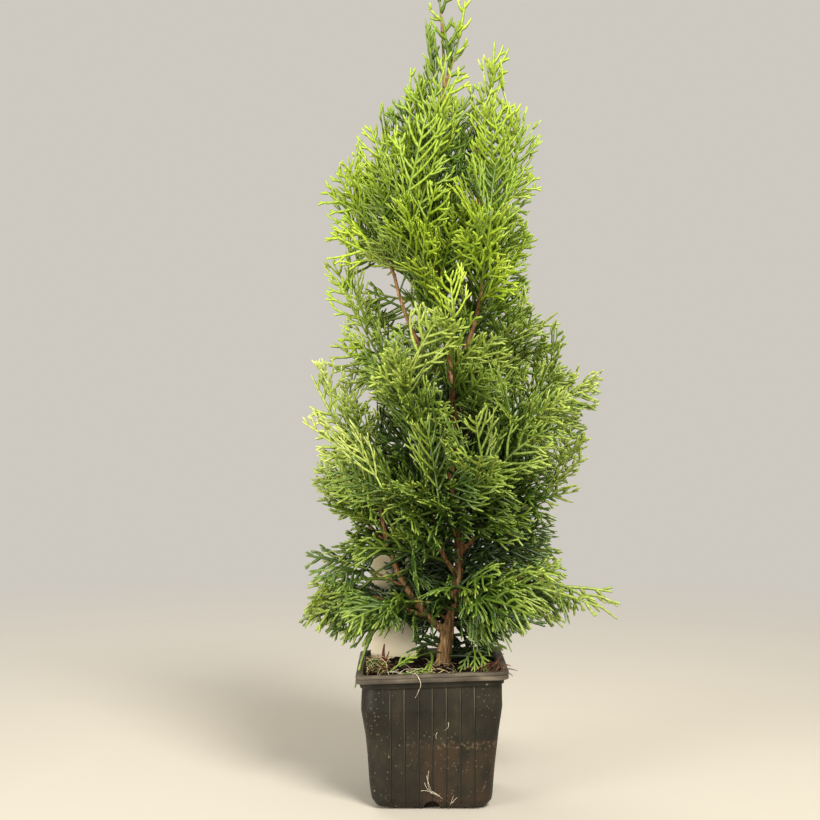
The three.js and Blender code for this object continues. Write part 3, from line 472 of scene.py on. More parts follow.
def in_window(points):
    """True in the thin place on the left, high up, where a brown limb shows against the sky."""
    x, _, z = points.T
    sideways = x - WINDOW_X + WINDOW_LEAN * (z - WINDOW_Z)
    inside = (sideways / WINDOW_HALF) ** 2 + ((z - WINDOW_Z) / WINDOW_RISE) ** 2 < 1
    return inside & ~straying(points, WINDOW_PATCH, 59, WINDOW_STRAY)


def before_wood(points):
    """True in front of the lengths of bare wood that show through the foliage."""
    flat = (1, 0, 1)
    hidden = np.zeros(len(points), bool)
    for name, low, high, half, stray in BARE_WOOD:
        piece = (WOOD_NAMES == name) & (WOOD_HIGH[:, 2] > low) & (WOOD_LOW[:, 2] < high)
        near = distances(points * flat, WOOD_LOW[piece] * flat, WOOD_HIGH[piece] * flat).min(axis=1) < half
        hidden |= near & (points[:, 1] < 0) & ~straying(points, WOOD_PATCH, 58, stray)
    return hidden


def open_to_leaves(points, radius, spare):
    clear = clear_of_wood(points, radius) & inside_crown(points, spare) & inside_box(points)
    return clear & ~before_label(points) & ~before_wood(points) & ~in_window(points)


# ---------------------------------------------------------------- sprays


def fan_half(mass, share):
    """Half the fan's span at a share of its stem: an oval from the stem's foot to its tip."""
    inside = np.clip(share, 0, 1)
    return np.where(share >= 1, 0, FAN_WIDTHS[mass] * np.sin(np.pi * inside**0.75) ** 0.5)


def reach_from(mass, share, lean):
    """How far a spray reaches before it leaves the oval of its fan, by halving."""
    length = STEM_LENGTHS[mass]
    low, high = np.zeros(len(mass)), length.copy()
    for _ in range(20):
        middle = (low + high) / 2
        inside = middle * np.sin(lean) < fan_half(mass, share + middle * np.cos(lean) / length)
        low, high = np.where(inside, middle, low), np.where(inside, high, middle)
    return low


def branch_off(ends, normal, share, side, reach, lean, lift, curl, droop):
    """New shoots that leave their parents in or near the plane of each, one row for each shoot."""
    along = heading_at(ends, share)
    across = unit(np.cross(normal, along))
    sideways = across * column(side * np.sin(lean))
    heading = unit(along * column(np.cos(lean)) + sideways + normal * column(lift))
    start = curve_at(ends, share)
    bend = start + heading * column(reach * 0.5)
    tip = start + heading * column(reach * (1 - curl)) + along * column(reach * curl)
    return np.stack((start, bend, tip - UP * column(droop * reach)), axis=1), heading


def dealt(counts):
    """The parent of each new shoot, and its number among its parent's shoots."""
    return np.repeat(np.arange(len(counts)), counts), np.concatenate([np.arange(count) for count in counts])


def by_turns(number):
    """-1 for even numbers and 1 for odd ones: the two sides of a parent."""
    return np.where(number % 2 == 1, 1.0, -1.0)


def first_sprays():
    """The sprays that the solids have too, by the same rule and from the same chances."""
    spread = SPRAY_LAST - SPRAY_FIRST
    counts = np.floor(spread * STEM_LENGTHS / SPRAY_STEP + 0.5).astype(int)
    mass, number = dealt(counts)
    share = SPRAY_FIRST + spread * (number + SPRAY_JITTER * chance(mass, number, 1)) / counts[mass]
    lean = np.radians(SPRAY_LEAN + SPRAY_LEAN_SPREAD * (chance(mass, number, 2) - 0.5))
    reach = reach_from(mass, share, lean) * (1 - SPRAY_SPREAD * chance(mass, number, 3))
    lift = SPRAY_TILT * (chance(mass, number, 4) - 0.5)
    fan = FAN_NORMALS[mass]
    way = by_turns(number), reach, lean, lift, SPRAY_CURL, DROOPS[mass]
    ends, heading = branch_off(STEMS[mass], fan, share, *way)
    turn = np.radians(SPRAY_TURN * (chance(mass, number, 5) - 0.5))
    return ends, turned(square_to(fan, heading), heading, turn), reach, mass


def riser_feet():
    """Where sprays rise off the trunk, the limbs and the stems, and the way the wood runs there."""
    shares = np.linspace(*RISER_RANGE, TRUNK_RISERS) ** RISER_CROWDING
    feet = [(trunk_at(shares), np.broadcast_to(UP, (len(shares), 3)))]
    for ends in [limb[0] for limb in LIMB_CURVES.values()] + list(STEMS):
        shares = np.linspace(*RISER_RANGE, round(length_of(ends) / RISER["step"]))
        feet.append((curve_at(ends, shares), heading_at(ends, shares)))
    return [np.concatenate(kind) for kind in zip(*feet)]


def filler_feet():
    """Where short sprays fill the low heart of the crown, round the trunk and the lower limbs."""
    inside = (WOOD_LOW[:, 2] > FILLED[0]) & (WOOD_HIGH[:, 2] < FILLED[1])
    low, span = WOOD_LOW[inside], (WOOD_HIGH - WOOD_LOW)[inside]
    counts = np.maximum(1, np.round(np.linalg.norm(span, axis=1) / FILLER["step"])).astype(int)
    piece, number = dealt(counts)
    share = column((number + 0.5) / counts[piece])
    return low[piece] + span[piece] * share, unit(span)[piece]


def risers(start, along, rule, first_key):
    """Sprays all round the wood, with their flat side towards the outside."""
    key, height = first_key + np.arange(len(start)), start[:, 2]
    azimuth = GOLDEN_ANGLE * key + RISER_JITTER * chance(key, 51)
    level = np.stack((np.cos(azimuth), np.sin(azimuth), np.zeros(len(key))), axis=1)
    droop, upright = smooth(*DROOPING, height), smooth(*UPRIGHT, height)
    rise = (RISE_SPREAD * chance(key, 52) - RISE_LEAST) * (1 - droop) - HANG * droop * chance(key, 56)
    rise += LIFT * smooth(*LIFTED, height) + STEEPER * upright
    heading = unit(level * rule["out"] + along * (1, 1, ALONG_UP) * rule["along"] + UP * column(rise))
    reach = rule["reach"] + rule["spread"] * chance(key, 53) + rule["longer"] * smooth(*LONGER, height)
    reach *= 1 - CUT * smooth(*SHORTER, height)
    outward = unit((start + heading * OUT_AT - (CROWN_X, 0, 0)) * (1, 1, 0))
    spin = np.radians(RISER_SPIN * (chance(key, 54) - 0.5))
    normal = square_to(turned(outward, np.broadcast_to(UP, outward.shape), spin), heading)
    nod = (outward * NOD_OUT - UP) * column(rule["nod"] * (1 - NOD_LESS * upright))
    bend = start + heading * column(reach * 0.5)
    tip = start + (heading * STRAIGHT + nod - UP * column(TIP_HANG * droop)) * column(reach)
    ends = np.stack((start, bend, tip), axis=1)
    kept = chance(key, 55) > np.interp(height, *THIN_LINE.T)
    return ends[kept], normal[kept], reach[kept], nearest_stem(curve_at(ends, MIDDLE)[kept])


def share_with_room(ends):
    """How much of each spray's curve stays clear of the wood and inside the crown's outline."""
    room = np.ones(len(ends))
    edge = EDGE_LEAST + (EDGE_MOST - EDGE_LEAST) * chance(np.arange(len(ends)), 57)
    for share in np.linspace(1, 2 * ROOM_STEP, 9):
        room[~open_to_leaves(curve_at(ends, share), RIB_HALF, edge)] = share - ROOM_STEP
    return room


def trimmed(ends, normal, reach, mass):
    """Sprays cut back to where they have room. One with too little room isn't grown."""
    kept = reach >= LEAST_REACH
    ends, normal, reach, mass = ends[kept], normal[kept], reach[kept], mass[kept]
    room = share_with_room(ends)
    kept = (room >= SHORTEST) & (room * reach >= LEAST_REACH)
    ends = part_of(ends[kept], np.zeros(kept.sum()), room[kept])
    return ends, normal[kept], reach[kept] * room[kept], mass[kept]


def grow_sprays():
    """All sprays of the plant, with the mass that each belongs to. The stems' own ends come last."""
    end = part_of(STEMS, END_FROM, 1)
    groups = [
        trimmed(*first_sprays()),
        trimmed(*risers(*riser_feet(), RISER, 0)),
        trimmed(*risers(*filler_feet(), FILLER, FILLER_KEY)),
        (end, FAN_NORMALS, length_of(end), np.arange(len(STEMS))),
    ]
    return [np.concatenate(kind) for kind in zip(*groups)]


def grow_from(ends, normal, length, rule):
    """Side shoots by one rule, by turns left and right of each parent."""
    spread, seed = rule["last"] - rule["first"], rule["seed"]
    counts = np.maximum(1, np.round(length * spread / rule["step"]).astype(int))
    parent, number = dealt(counts)
    share = rule["first"] + spread * (number + SHOOT_JITTER * chance(parent, number, seed)) / counts[parent]
    varied = 1 + SHOOT_SPREAD * (chance(parent, number, seed + 1) - 0.5)
    swelling = np.sin(np.pi * (rule["swell"][0] + rule["swell"][1] * share))
    reach = np.minimum(length[parent] * rule["share"] * swelling * varied, rule["most"])
    reach = np.minimum(reach, TIP_LEAST + TIP_TAPER * (1 - share) * length[parent])
    height = curve_at(ends[parent], share)[:, 2]
    missing = MISSING_TOP * smooth(*SPARSE_TOP, ends[parent, 2, 2])
    missing += MISSING_LOW * smooth(*SPARSE_LOW, height)
    kept = (reach > rule["least"]) & (chance(parent, number, seed + 4) > missing)
    parent, number, share, reach, height = (kind[kept] for kind in (parent, number, share, reach, height))
    lean = np.radians(rule["lean"] * (LEAN_LEAST + LEAN_SPREAD * chance(parent, number, seed + 2)))
    lift = SHOOT_TILT * (chance(parent, number, seed + 3) - 0.5)
    nod = rule["nod"] * changed(1, NOD_CHANGES, height)
    way = by_turns(number), reach, lean, lift, rule["curl"], nod
    shoots, _ = branch_off(ends[parent], normal[parent], share, *way)
    clear = np.ones(len(shoots), bool)
    for along in (0.5, 1.0):
        clear &= open_to_leaves(curve_at(shoots, along), FINGER_HALF, FRINGE)
    return shoots[clear], normal[parent][clear], reach[clear], parent[clear]


# ---------------------------------------------------------------- meshes


def mesh_of(name, points, quads, triangles, materials, quad_tints=(), triangle_tints=()):
    """One object from arrays of points in millimetres and faces. Tints are numbers of materials."""
    mesh = bpy.data.meshes.new(name)
    mesh.vertices.add(len(points))
    mesh.vertices.foreach_set("co", (np.asarray(points, float) * MM).astype(np.float32).ravel())
    corners = np.concatenate((quads.ravel(), triangles.ravel())).astype(np.int32)
    mesh.loops.add(len(corners))
    mesh.loops.foreach_set("vertex_index", corners)
    starts = np.concatenate((np.arange(len(quads)) * 4, quads.size + np.arange(len(triangles)) * 3))
    mesh.polygons.add(len(starts))
    mesh.polygons.foreach_set("loop_start", starts.astype(np.int32))
    if len(quad_tints):
        tints = np.concatenate((quad_tints, triangle_tints)).astype(np.int32)
        mesh.polygons.foreach_set("material_index", tints)
    mesh.polygons.foreach_set("use_smooth", np.ones(len(starts), bool))
    for material in materials:
        mesh.materials.append(material)
    mesh.update(calc_edges=True)
    mesh.validate()
    obj = bpy.data.objects.new(name, mesh)
    bpy.context.scene.collection.objects.link(obj)
    return obj


def joined(parts):
    """Several (points, quads, triangles) as one."""
    firsts = np.cumsum([0] + [len(points) for points, _, _ in parts])
    moved = [(points, quads + first, caps + first) for (points, quads, caps), first in zip(parts, firsts)]
    return [np.concatenate(kind) for kind in zip(*moved)]


def mesh_of_parts(name, parts, tints, materials):
    """One object from several (points, quads, triangles), each in one material."""
    spread = [[np.full(len(part[kind]), tint) for part, tint in zip(parts, tints)] for kind in (1, 2)]
    return mesh_of(name, *joined(parts), materials, *(np.concatenate(kind) for kind in spread))


def kept_piece(obj, slot, *nodes):
    """A finished piece: it rides with the plant and stands for its solids. slot is not used."""
    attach(obj, "root")
    if nodes:
        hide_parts(*nodes)


def tube_faces(rings, around, anticlockwise=False):
    """Quads between rings of points, then triangles about the middle of the first ring and of the last.

    The two middle points follow the rings' own. Seen from the tube's end, rings run clockwise unless
    they are said to run the other way.
    """
    i, j = np.arange(around), (np.arange(around) + 1) % around
    ring, last = np.arange(rings - 1)[:, None] * around, (rings - 1) * around
    quads = np.stack((ring + i, ring + around + i, ring + around + j, ring + j), axis=-1).reshape(-1, 4)
    low = np.column_stack((np.full(around, rings * around), i, j))
    high = np.column_stack((np.full(around, rings * around + 1), last + j, last + i))
    caps = np.vstack((low, high))
    return (quads[:, [0, 3, 2, 1]], caps[:, [0, 2, 1]]) if anticlockwise else (quads, caps)


def ring_angles(sides):
    return np.arange(sides) / sides * 2 * np.pi


def tube_arrays(middle, along, radius, sides, relief=0.0):
    """A closed tube through points. radius is one number for each ring, relief one for each point."""
    angle = ring_angles(sides)[:, None]
    across = unit(np.cross(along, (0.0, 1.0, 0.0)))
    out = across[:, None] * np.cos(angle) + np.cross(across, along)[:, None] * np.sin(angle)
    points = (middle[:, None] + out * (radius[:, None] + relief)[..., None]).reshape(-1, 3)
    return np.vstack((points, middle[0], middle[-1])), *tube_faces(len(middle), sides)


def scale_rings(count):
    """Shares of the length, and of the full half width, of the rings of a shoot with that many scales."""
    k = np.arange(count)
    taper = 1 - SHOOT_TAPER * k / count
    share = np.column_stack(((k + SCALE_FOOT) / count, (k + SCALE_SHOULDER) / count)).ravel()
    half = np.column_stack((SCALE_NECK * taper, taper)).ravel()
    half[-1] *= LAST_SCALE
    return share, half


def shoot_arrays(ends, normal, half, tint, tip_tint):
    """Closed flattened shoots of scale leaves. Each pair of scales widens and then steps back in.

    Each tint has two materials: the scales' own, and a darker one for the steps between them, which is
    painted shade in the joints between scales.
    """
    pairs = np.clip(np.round(length_of(ends) / SCALE_PITCH), 1, MOST_PAIRS).astype(int)
    groups, first = [], 0
    for count in np.unique(pairs):
        rows = pairs == count
        curve, (share, width) = ends[rows], scale_rings(count)
        along, middle = (np.stack([of(curve, s) for s in share], axis=1) for of in (heading_at, curve_at))
        across = unit(np.cross(normal[rows][:, None], along))
        wide = half[rows][:, None, None] * width[:, None]
        side, over = across * wide, np.cross(along, across) * wide * FLATNESS
        ring = np.stack((middle + side, middle + over, middle - side, middle - over), axis=2)
        root, tip = curve_at(curve, 0.0)[:, None], curve_at(curve, 1.0)[:, None]
        points = np.concatenate((ring.reshape(len(curve), -1, 3), root, tip), axis=1)
        quads, caps = tube_faces(len(share), 4, anticlockwise=True)
        start = first + np.arange(len(curve))[:, None, None] * points.shape[1]
        first += points.shape[0] * points.shape[1]
        tints = np.column_stack((tint[rows], tip_tint[rows])) * 2
        gap = np.arange(len(quads)) // 4
        growing = (gap > TIP_FROM * (len(share) - 1)).astype(int)
        faces = (start + quads).reshape(-1, 4), (start + caps).reshape(-1, 3)
        shades = (tints[:, growing] + gap % 2).ravel(), np.repeat(tints, 4, axis=1).ravel()
        groups.append((points.reshape(-1, 3), *faces, *shades))
    return [np.concatenate(kind) for kind in zip(*groups)]


# ---------------------------------------------------------------- materials


def srgb(red, green, blue):
    """A linear colour from the usual 0 to 255 numbers."""
    share = np.array((red, green, blue)) / 255
    linear = np.where(share <= 0.04045, share / 12.92, ((share + 0.055) / 1.055) ** 2.4)
    return (*linear, 1.0)


class Look:
    """A material and short ways to add and join its nodes. Colours are in the usual 0 to 255 numbers."""

    def __init__(self, name, roughness, specular, colour=None):
        self.material = bpy.data.materials.new(name)
        self.material.use_nodes = True
        self.tree = self.material.node_tree
        self.shader = self.tree.nodes["Principled BSDF"]
        self.set(Roughness=roughness, Specular_IOR_Level=specular)
        if colour is not None:
            self.set(Base_Color=colour)

    def fill(self, socket, value):
        """Links a socket to another node's, or gives it a plain value."""
        if isinstance(value, bpy.types.NodeSocket):
            self.tree.links.new(value, socket)
        else:
            socket.default_value = srgb(*value) if socket.type == "RGBA" else value

    def set(self, **inputs):
        """Fills the shader's own sockets."""
        for name, value in inputs.items():
            self.fill(self.shader.inputs[name.replace("_", " ")], value)

    def add(self, kind, operation=None, **inputs):
        node = self.tree.nodes.new(kind)
        if operation:
            node.operation = operation
        for name, value in inputs.items():
            self.fill(node.inputs[name.replace("_", " ")], value)
        return node

    def place(self, scale=(1, 1, 1)):
        """The point on the object, in metres times scale."""
        here = self.add("ShaderNodeTexCoord").outputs["Object"]
        return self.add("ShaderNodeMapping", Vector=here, Scale=scale).outputs["Vector"]

    def part(self, axis):
        """The point's own X, Y or Z, in metres."""
        return self.add("ShaderNodeSeparateXYZ", Vector=self.place()).outputs[axis]

    def noise(self, scale, detail=4.0, stretch=(1, 1, 1), rough=0.5):
        place = self.place(stretch)
        node = self.add("ShaderNodeTexNoise", Vector=place, Scale=scale, Detail=detail, Roughness=rough)
        return node.outputs["Fac"]

    def ramp(self, value, *stops):
        """Colours by value. Each stop is a position and a colour, or the brightness of a grey."""
        node = self.add("ShaderNodeValToRGB", Fac=value)
        elements = node.color_ramp.elements
        while len(elements) < len(stops):
            elements.new(0.5)
        for element, (position, colour) in zip(elements, stops):
            element.position = position
            element.color = (colour,) * 3 + (1,) if isinstance(colour, float) else srgb(*colour)
        return node.outputs["Color"]

    def mix(self, share, low, high):
        node = self.tree.nodes.new("ShaderNodeMix")
        node.data_type = "RGBA"
        factor, colours = node.inputs["Factor"], [socket for socket in node.inputs if socket.type == "RGBA"]
        for socket, value in zip((factor, *colours), (share, low, high)):
            self.fill(socket, value)
        return next(socket for socket in node.outputs if socket.type == "RGBA")

    def range(self, value, low, high):
        """0 below low and 1 above high."""
        return self.add("ShaderNodeMapRange", Value=value, From_Min=low, From_Max=high).outputs["Result"]

    def product(self, first, *others):
        for other in others:
            node = self.add("ShaderNodeMath", "MULTIPLY", Value=first)
            self.fill(node.inputs[1], other)
            first = node.outputs[0]
        return first

    def specks(self, scale, size, share):
        """Round grains in that share of the cells of a scatter."""
        cells = self.add("ShaderNodeTexVoronoi", Vector=self.place(), Scale=scale)
        picked = self.range(cells.outputs["Color"], 1 - share, 1.01 - share)
        return self.product(self.range(cells.outputs["Distance"], size, size * 0.6), picked)

    def bump(self, height, distance, strength=1.0):
        node = self.add("ShaderNodeBump", Height=height, Distance=distance, Strength=strength)
        self.set(Normal=node.outputs["Normal"])


def mottled(name, roughness, specular, grain, *stops, relief=None, rough=0.5):
    """A material whose colours follow one noise of a scale and detail, which may be its relief as well."""
    look = Look(name, roughness, specular)
    value = look.noise(*grain, rough=rough)
    look.set(Base_Color=look.ramp(value, *stops))
    if relief:
        look.bump(value, *relief)
    return look.material


# Leaf tints from the deepest shade to the youngest growth.
TINTS = [
    ("deepest", (30, 51, 5)), ("deep", (53, 78, 11)), ("shade", (80, 104, 24)),
    ("mid", (109, 131, 40)), ("fresh", (135, 153, 57)), ("bright", (150, 168, 66)),
    ("lime", (166, 181, 82)), ("gold", (183, 192, 104)),
]
SCALE_STEP_PAINTED_SHADE = 0.9  # how bright the steps between scale leaves are, as a share of the scales: painted shade in the joints between scales
YOUNG_BALANCE = (0.96, 1, 0.52)  # how much red, green and blue young sprays keep: they are a fuller green
LEAF_ROUGHNESS, LEAF_SPECULAR = 0.42, 0.55
# Young stems, from the foot to the tip, and dead and loose bits on the soil: darker and lighter colour.
TWIG_COLOURS = {
    "brown": ((96, 62, 34), (150, 108, 64)),
    "olive": ((92, 82, 34), (136, 124, 56)),
    "green": ((72, 92, 26), (110, 130, 40)),
}
LITTER_COLOURS = {
    "straw": ((150, 130, 88), (206, 188, 140)),
    "moss": ((66, 84, 30), (122, 140, 66)),
    "root": ((176, 164, 138), (228, 218, 194)),
    "dry_leaf": ((50, 32, 22), (100, 66, 44)),
    "dead_twig": ((54, 20, 16), (104, 44, 32)),
}


def leaf_materials():
    """For each tint, muted and then young: the scale leaves' colour and their steps' darker one, which is
    painted shade.
    """
    materials = []
    for age, balance in (("muted", (1, 1, 1)), ("young", YOUNG_BALANCE)):
        for name, colour in TINTS:
            # The step material is the scale colour darkened: painted shade in the joints between scales.
            for part, share in (("scale", 1.0), ("step", SCALE_STEP_PAINTED_SHADE)):
                tone = np.array(colour) * share * balance
                look = Look(f"leaf_{age}_{name}_{part}", LEAF_ROUGHNESS, LEAF_SPECULAR, tone)
                materials.append(look.material)
    return materials


def two_tone_looks(prefix, colours, roughness, specular):
    return [
        mottled(prefix + name, roughness, specular, (500, 3), (0.35, low), (0.65, high))
        for name, (low, high) in colours.items()
    ]


def bark_look():
    """Fibrous brown bark: grey-brown on the bole, red-brown on the young limbs and green on the leader."""
    look = Look("thuja_bark", 0.85, 0.25)
    fibre = look.noise(900, 5, (1, 1, 0.12), 0.6)
    old = look.ramp(fibre, (0.3, (56, 40, 24)), (0.52, (134, 103, 66)), (0.72, (190, 158, 114)))
    young = look.ramp(fibre, (0.3, (74, 46, 26)), (0.52, (132, 88, 52)), (0.72, (184, 142, 96)))
    green = look.ramp(fibre, (0.3, (96, 98, 30)), (0.7, (150, 150, 66)))
    height = look.part("Z")
    patchy = look.mix(look.range(look.noise(60, 3), 0.35, 0.65), young, old)
    brown = look.mix(look.range(height, 0.15, 0.105), patchy, old)
    look.set(Base_Color=look.mix(look.range(height, 0.415, 0.45), brown, green))
    look.bump(fibre, 0.0004, 0.8)
    return look.material


def pot_wall_look():
    """Dusty dark plastic, with a tide line of sediment and a stain low down on its right."""
    look = Look("pot_plastic", 0.6, 0.2)
    fine, height = look.noise(700, 3), look.part("Z")
    right = look.range(look.part("X"), -0.022, 0.0)
    wall = look.ramp(look.noise(60, 6, (1, 1, 0.6), 0.65), (0.32, (23, 21, 15)), (0.52, (34, 31, 22)),
                     (0.72, (50, 44, 31)))
    cloudy = look.range(look.noise(90, 5), 0.36, 0.6)
    stained = look.product(look.range(height, 0.044, 0.036), right, cloudy)
    line = look.product(look.range(height, 0.042, 0.0398), look.range(height, 0.036, 0.039))
    tide = look.product(line, right, look.range(look.noise(420, 6, rough=0.7), 0.5, 0.66))
    dirt_and_ridge_shadow = look.product(look.specks(560, 0.34, 0.36), look.range(look.noise(40, 4), 0.42, 0.62))
    for share, colour in (
        (stained, (50, 38, 26)),
        (tide, (112, 92, 68)),
        (dirt_and_ridge_shadow, (82, 74, 58)),
        (look.specks(210, 0.15, 0.16), (112, 104, 86)),
        (look.specks(75, 0.06, 0.11), (206, 198, 180)),
    ):
        wall = look.mix(share, wall, colour)
    look.set(Base_Color=wall, Roughness=look.ramp(fine, (0.3, 0.42), (0.7, 0.66)))
    look.bump(fine, 0.0001, 0.5)
    return look.material


def rim_look():
    look = Look("pot_rim_plastic", 0.6, 0.25)
    # The rim is paler than the wall: dust, and painted light where its top catches the lamps.
    streak = look.noise(60, 5, (1, 1, 3))
    dusty_and_lit = look.ramp(streak, (0.3, (48, 43, 34)), (0.55, (76, 68, 56)), (0.75, (108, 98, 82)))
    look.set(Base_Color=look.mix(look.specks(260, 0.2, 0.12), dusty_and_lit, (158, 146, 124)))
    look.bump(look.noise(700, 3), 0.0001, 0.4)
    return look.material


def crest_wear_highlight_look():
    """The ridges' crests: wear and a painted highlight, palest below the rim and broken lower down."""
    look = Look("pot_ridge_worn_highlight", 0.5, 0.3)
    # The crest's paleness is wear and a painted highlight.
    worn_and_lit = look.range(look.noise(70, 4, (1, 1, 0.5)), 0.36, 0.56)
    high = look.ramp(look.part("Z"), (0.03, 0.12), (0.07, 1.0))
    look.set(Base_Color=look.mix(look.product(worn_and_lit, high), (36, 32, 24), (74, 68, 56)))
    return look.material


def pot_looks():
    """Thin dark nursery plastic: the wall; the rim, paler with dust and painted light; the ridges' crests,
    with wear and a painted highlight; and a painted shadow beside them.
    """
    # A painted shadow strip beside each ridge, dark as shade.
    dirt_and_ridge_shadow = Look("pot_ridge_painted_shadow", 0.8, 0.1, (22, 19, 14))
    return [pot_wall_look(), rim_look(), crest_wear_highlight_look(), dirt_and_ridge_shadow.material]


def soil_looks():
    """Dark peat, brown bark crumbs and a few white grains."""
    return [
        mottled("peat", 1.0, 0.15, (900, 6), (0.3, (9, 6, 4)), (0.55, (27, 19, 13)), (0.75, (56, 42, 29)),
                relief=(0.0008,), rough=0.7),
        mottled("bark_crumb", 0.9, 0.2, (800, 4), (0.3, (34, 22, 13)), (0.7, (84, 60, 38)),
                relief=(0.0004, 0.8)),
        mottled("white_grain", 0.85, 0.3, (1500, 3), (0.3, (170, 160, 142)), (0.7, (232, 226, 212)),
                relief=(0.0003, 0.6)),
    ]


def label_look():
    """Cream plastic card with a faint grain and dusty patches."""
    look = Look("label_card", 0.5, 0.4)
    look.set(Base_Color=look.ramp(look.noise(50, 4), (0.3, (246, 228, 190)), (0.7, (254, 241, 210))))
    look.bump(look.noise(1200, 2), 0.00005, 0.4)
    return look.material


# ---------------------------------------------------------------- foliage

# The middle tint at each height, and how much it varies from spray to spray.
TINT_LINE = np.array(
    [(80, 2.5), (130, 2.6), (170, 2.6), (210, 2.8), (250, 3.7), (300, 4.1), (340, 4.1), (390, 3.7),
     (440, 4.6), (500, 5.4)]
)
TINT_SPREAD = 2.8
# The crown's middle radius: at the top, how much wider it is below, and between which heights it widens.
MIDDLE_TOP, MIDDLE_WIDER, MIDDLE_HEIGHTS = 20, 50, (480, 300)
# Sprays are darker inside it and lighter outside, partly the inner foliage's own darker green and partly
# painted shade of the crown's interior: by how many tints, from which share of it, and to which.
INNER_DARKER_AND_SHADED, OUTER_EVEN, OUTER_MOST = 1.4, 0.78, 1.15
# Brighter patches, the first of them painted sunlight on the crown's left: by how much, along which axis, and
# where they set in along it, upwards and downwards.
BRIGHT_PATCHES = [(1.9, 0, (-28, -52), (175, 205), (310, 270)), (0.6, 1, (-5, -30), (255, 285), (360, 330))]
AXIS_LIGHTER, BRANCHLET_LIGHTER, FINGER_LIGHTER = -0.5, 0.0, 0.4
SHOOT_INNER_DARKER_AND_SHADED, EDGE_EVEN = 2.2, 0.72  # single shoots do so too, by their share of the crown's reach, partly their own darker green inside and partly painted shade
TIP_FROM = 0.6  # share of a shoot beyond which it is growing, and lighter
TIP_LIGHTER, LOW_TIP_LIGHTER, LOW_DARKER = 0.4, 0.6, 0.6  # in steps of tint, and more so low in the crown
LOW_CROWN = (300, 230)  # heights between which the low crown's tints set in
YOUNG_HEIGHTS = (220, 330)  # heights between which sprays turn from muted to young


def tint_of(place, key):
    """The tint of a spray: deep inside the crown, partly its own darker green and partly painted shade,
    painted sunlight on the left, and lime at the top.
    """
    x, y, z = place.T
    out = np.hypot(x - CROWN_X, y) / (MIDDLE_TOP + MIDDLE_WIDER * smooth(*MIDDLE_HEIGHTS, z))
    value = np.interp(z, *TINT_LINE.T)
    # Darker towards the crown's middle: partly the inner foliage's own green, partly painted shade.
    value += INNER_DARKER_AND_SHADED * (np.minimum(out, OUTER_MOST) - OUTER_EVEN)
    # The first patch is painted sunlight on the crown's left.
    for amount, axis, inwards, above, below in BRIGHT_PATCHES:
        value += amount * smooth(*inwards, place[:, axis]) * smooth(*above, z) * smooth(*below, z)
    return value + TINT_SPREAD * (chance(key, 7, 3) - 0.5)


def share_out(points):
    """How far out points lie, as a share of the crown's reach at their height."""
    left, right = crown_reach(points[:, 2])
    return np.hypot(points[:, 0] - CROWN_X, points[:, 1] / (2 * CROWN_DEPTH)) / ((left + right) / 2)


def grow_shoots():
    """Every spray, branchlet and finger: its curve, normal, half width and two tints, and its mass."""
    ends, normal, reach, mass = grow_sprays()
    twigs, twig_normal, twig_reach, twig_spray = grow_from(ends, normal, reach, BRANCHLET)
    strong = twig_reach > FINGERED
    parents = twigs[strong], twig_normal[strong], twig_reach[strong]
    fingers, finger_normal, _, finger_twig = grow_from(*parents, FINGER)
    spray = np.concatenate((np.arange(len(ends)), twig_spray, twig_spray[strong][finger_twig]))
    counts = len(ends), len(twigs), len(fingers)
    shoots = np.concatenate((ends, twigs, fingers))
    half = np.repeat((AXIS_HALF, BRANCHLET_HALF, FINGER_HALF), counts)
    half *= changed(1, STOUT_CHANGES, shoots[:, 0, 2])
    lighter = np.repeat((AXIS_LIGHTER, BRANCHLET_LIGHTER, FINGER_LIGHTER), counts)
    # Shoots far inside the crown are darker: partly their own green, partly painted shade.
    lighter += SHOOT_INNER_DARKER_AND_SHADED * (np.minimum(share_out(curve_at(shoots, MIDDLE)), 1.0) - EDGE_EVEN)
    low = smooth(*LOW_CROWN, shoots[:, 1, 2])
    value = tint_of(curve_at(ends, MIDDLE), np.arange(len(ends)))[spray] + lighter - LOW_DARKER * low
    young = chance(np.arange(len(ends)), 62) < smooth(*YOUNG_HEIGHTS, ends[:, 0, 2])
    tints = [
        np.clip(np.round(tone), 0, len(TINTS) - 1).astype(int) + len(TINTS) * young[spray]
        for tone in (value, value + TIP_LIGHTER + LOW_TIP_LIGHTER * low)
    ]
    return (shoots, np.concatenate((normal, twig_normal, finger_normal)), half, *tints), mass[spray]


def make_leaves(materials):
    shoots, mass = grow_shoots()
    first = 0
    for name, count in REGIONS:
        rows = (mass >= first) & (mass < first + count)
        points, quads, caps, *tints = shoot_arrays(*(kind[rows] for kind in shoots))
        leaves = mesh_of(name, points, quads, caps, materials, *tints)
        kept_piece(leaves, "foliage", *("foliage_" + row[0] for row in MASSES[first : first + count]))
        first += count


# ---------------------------------------------------------------- wood

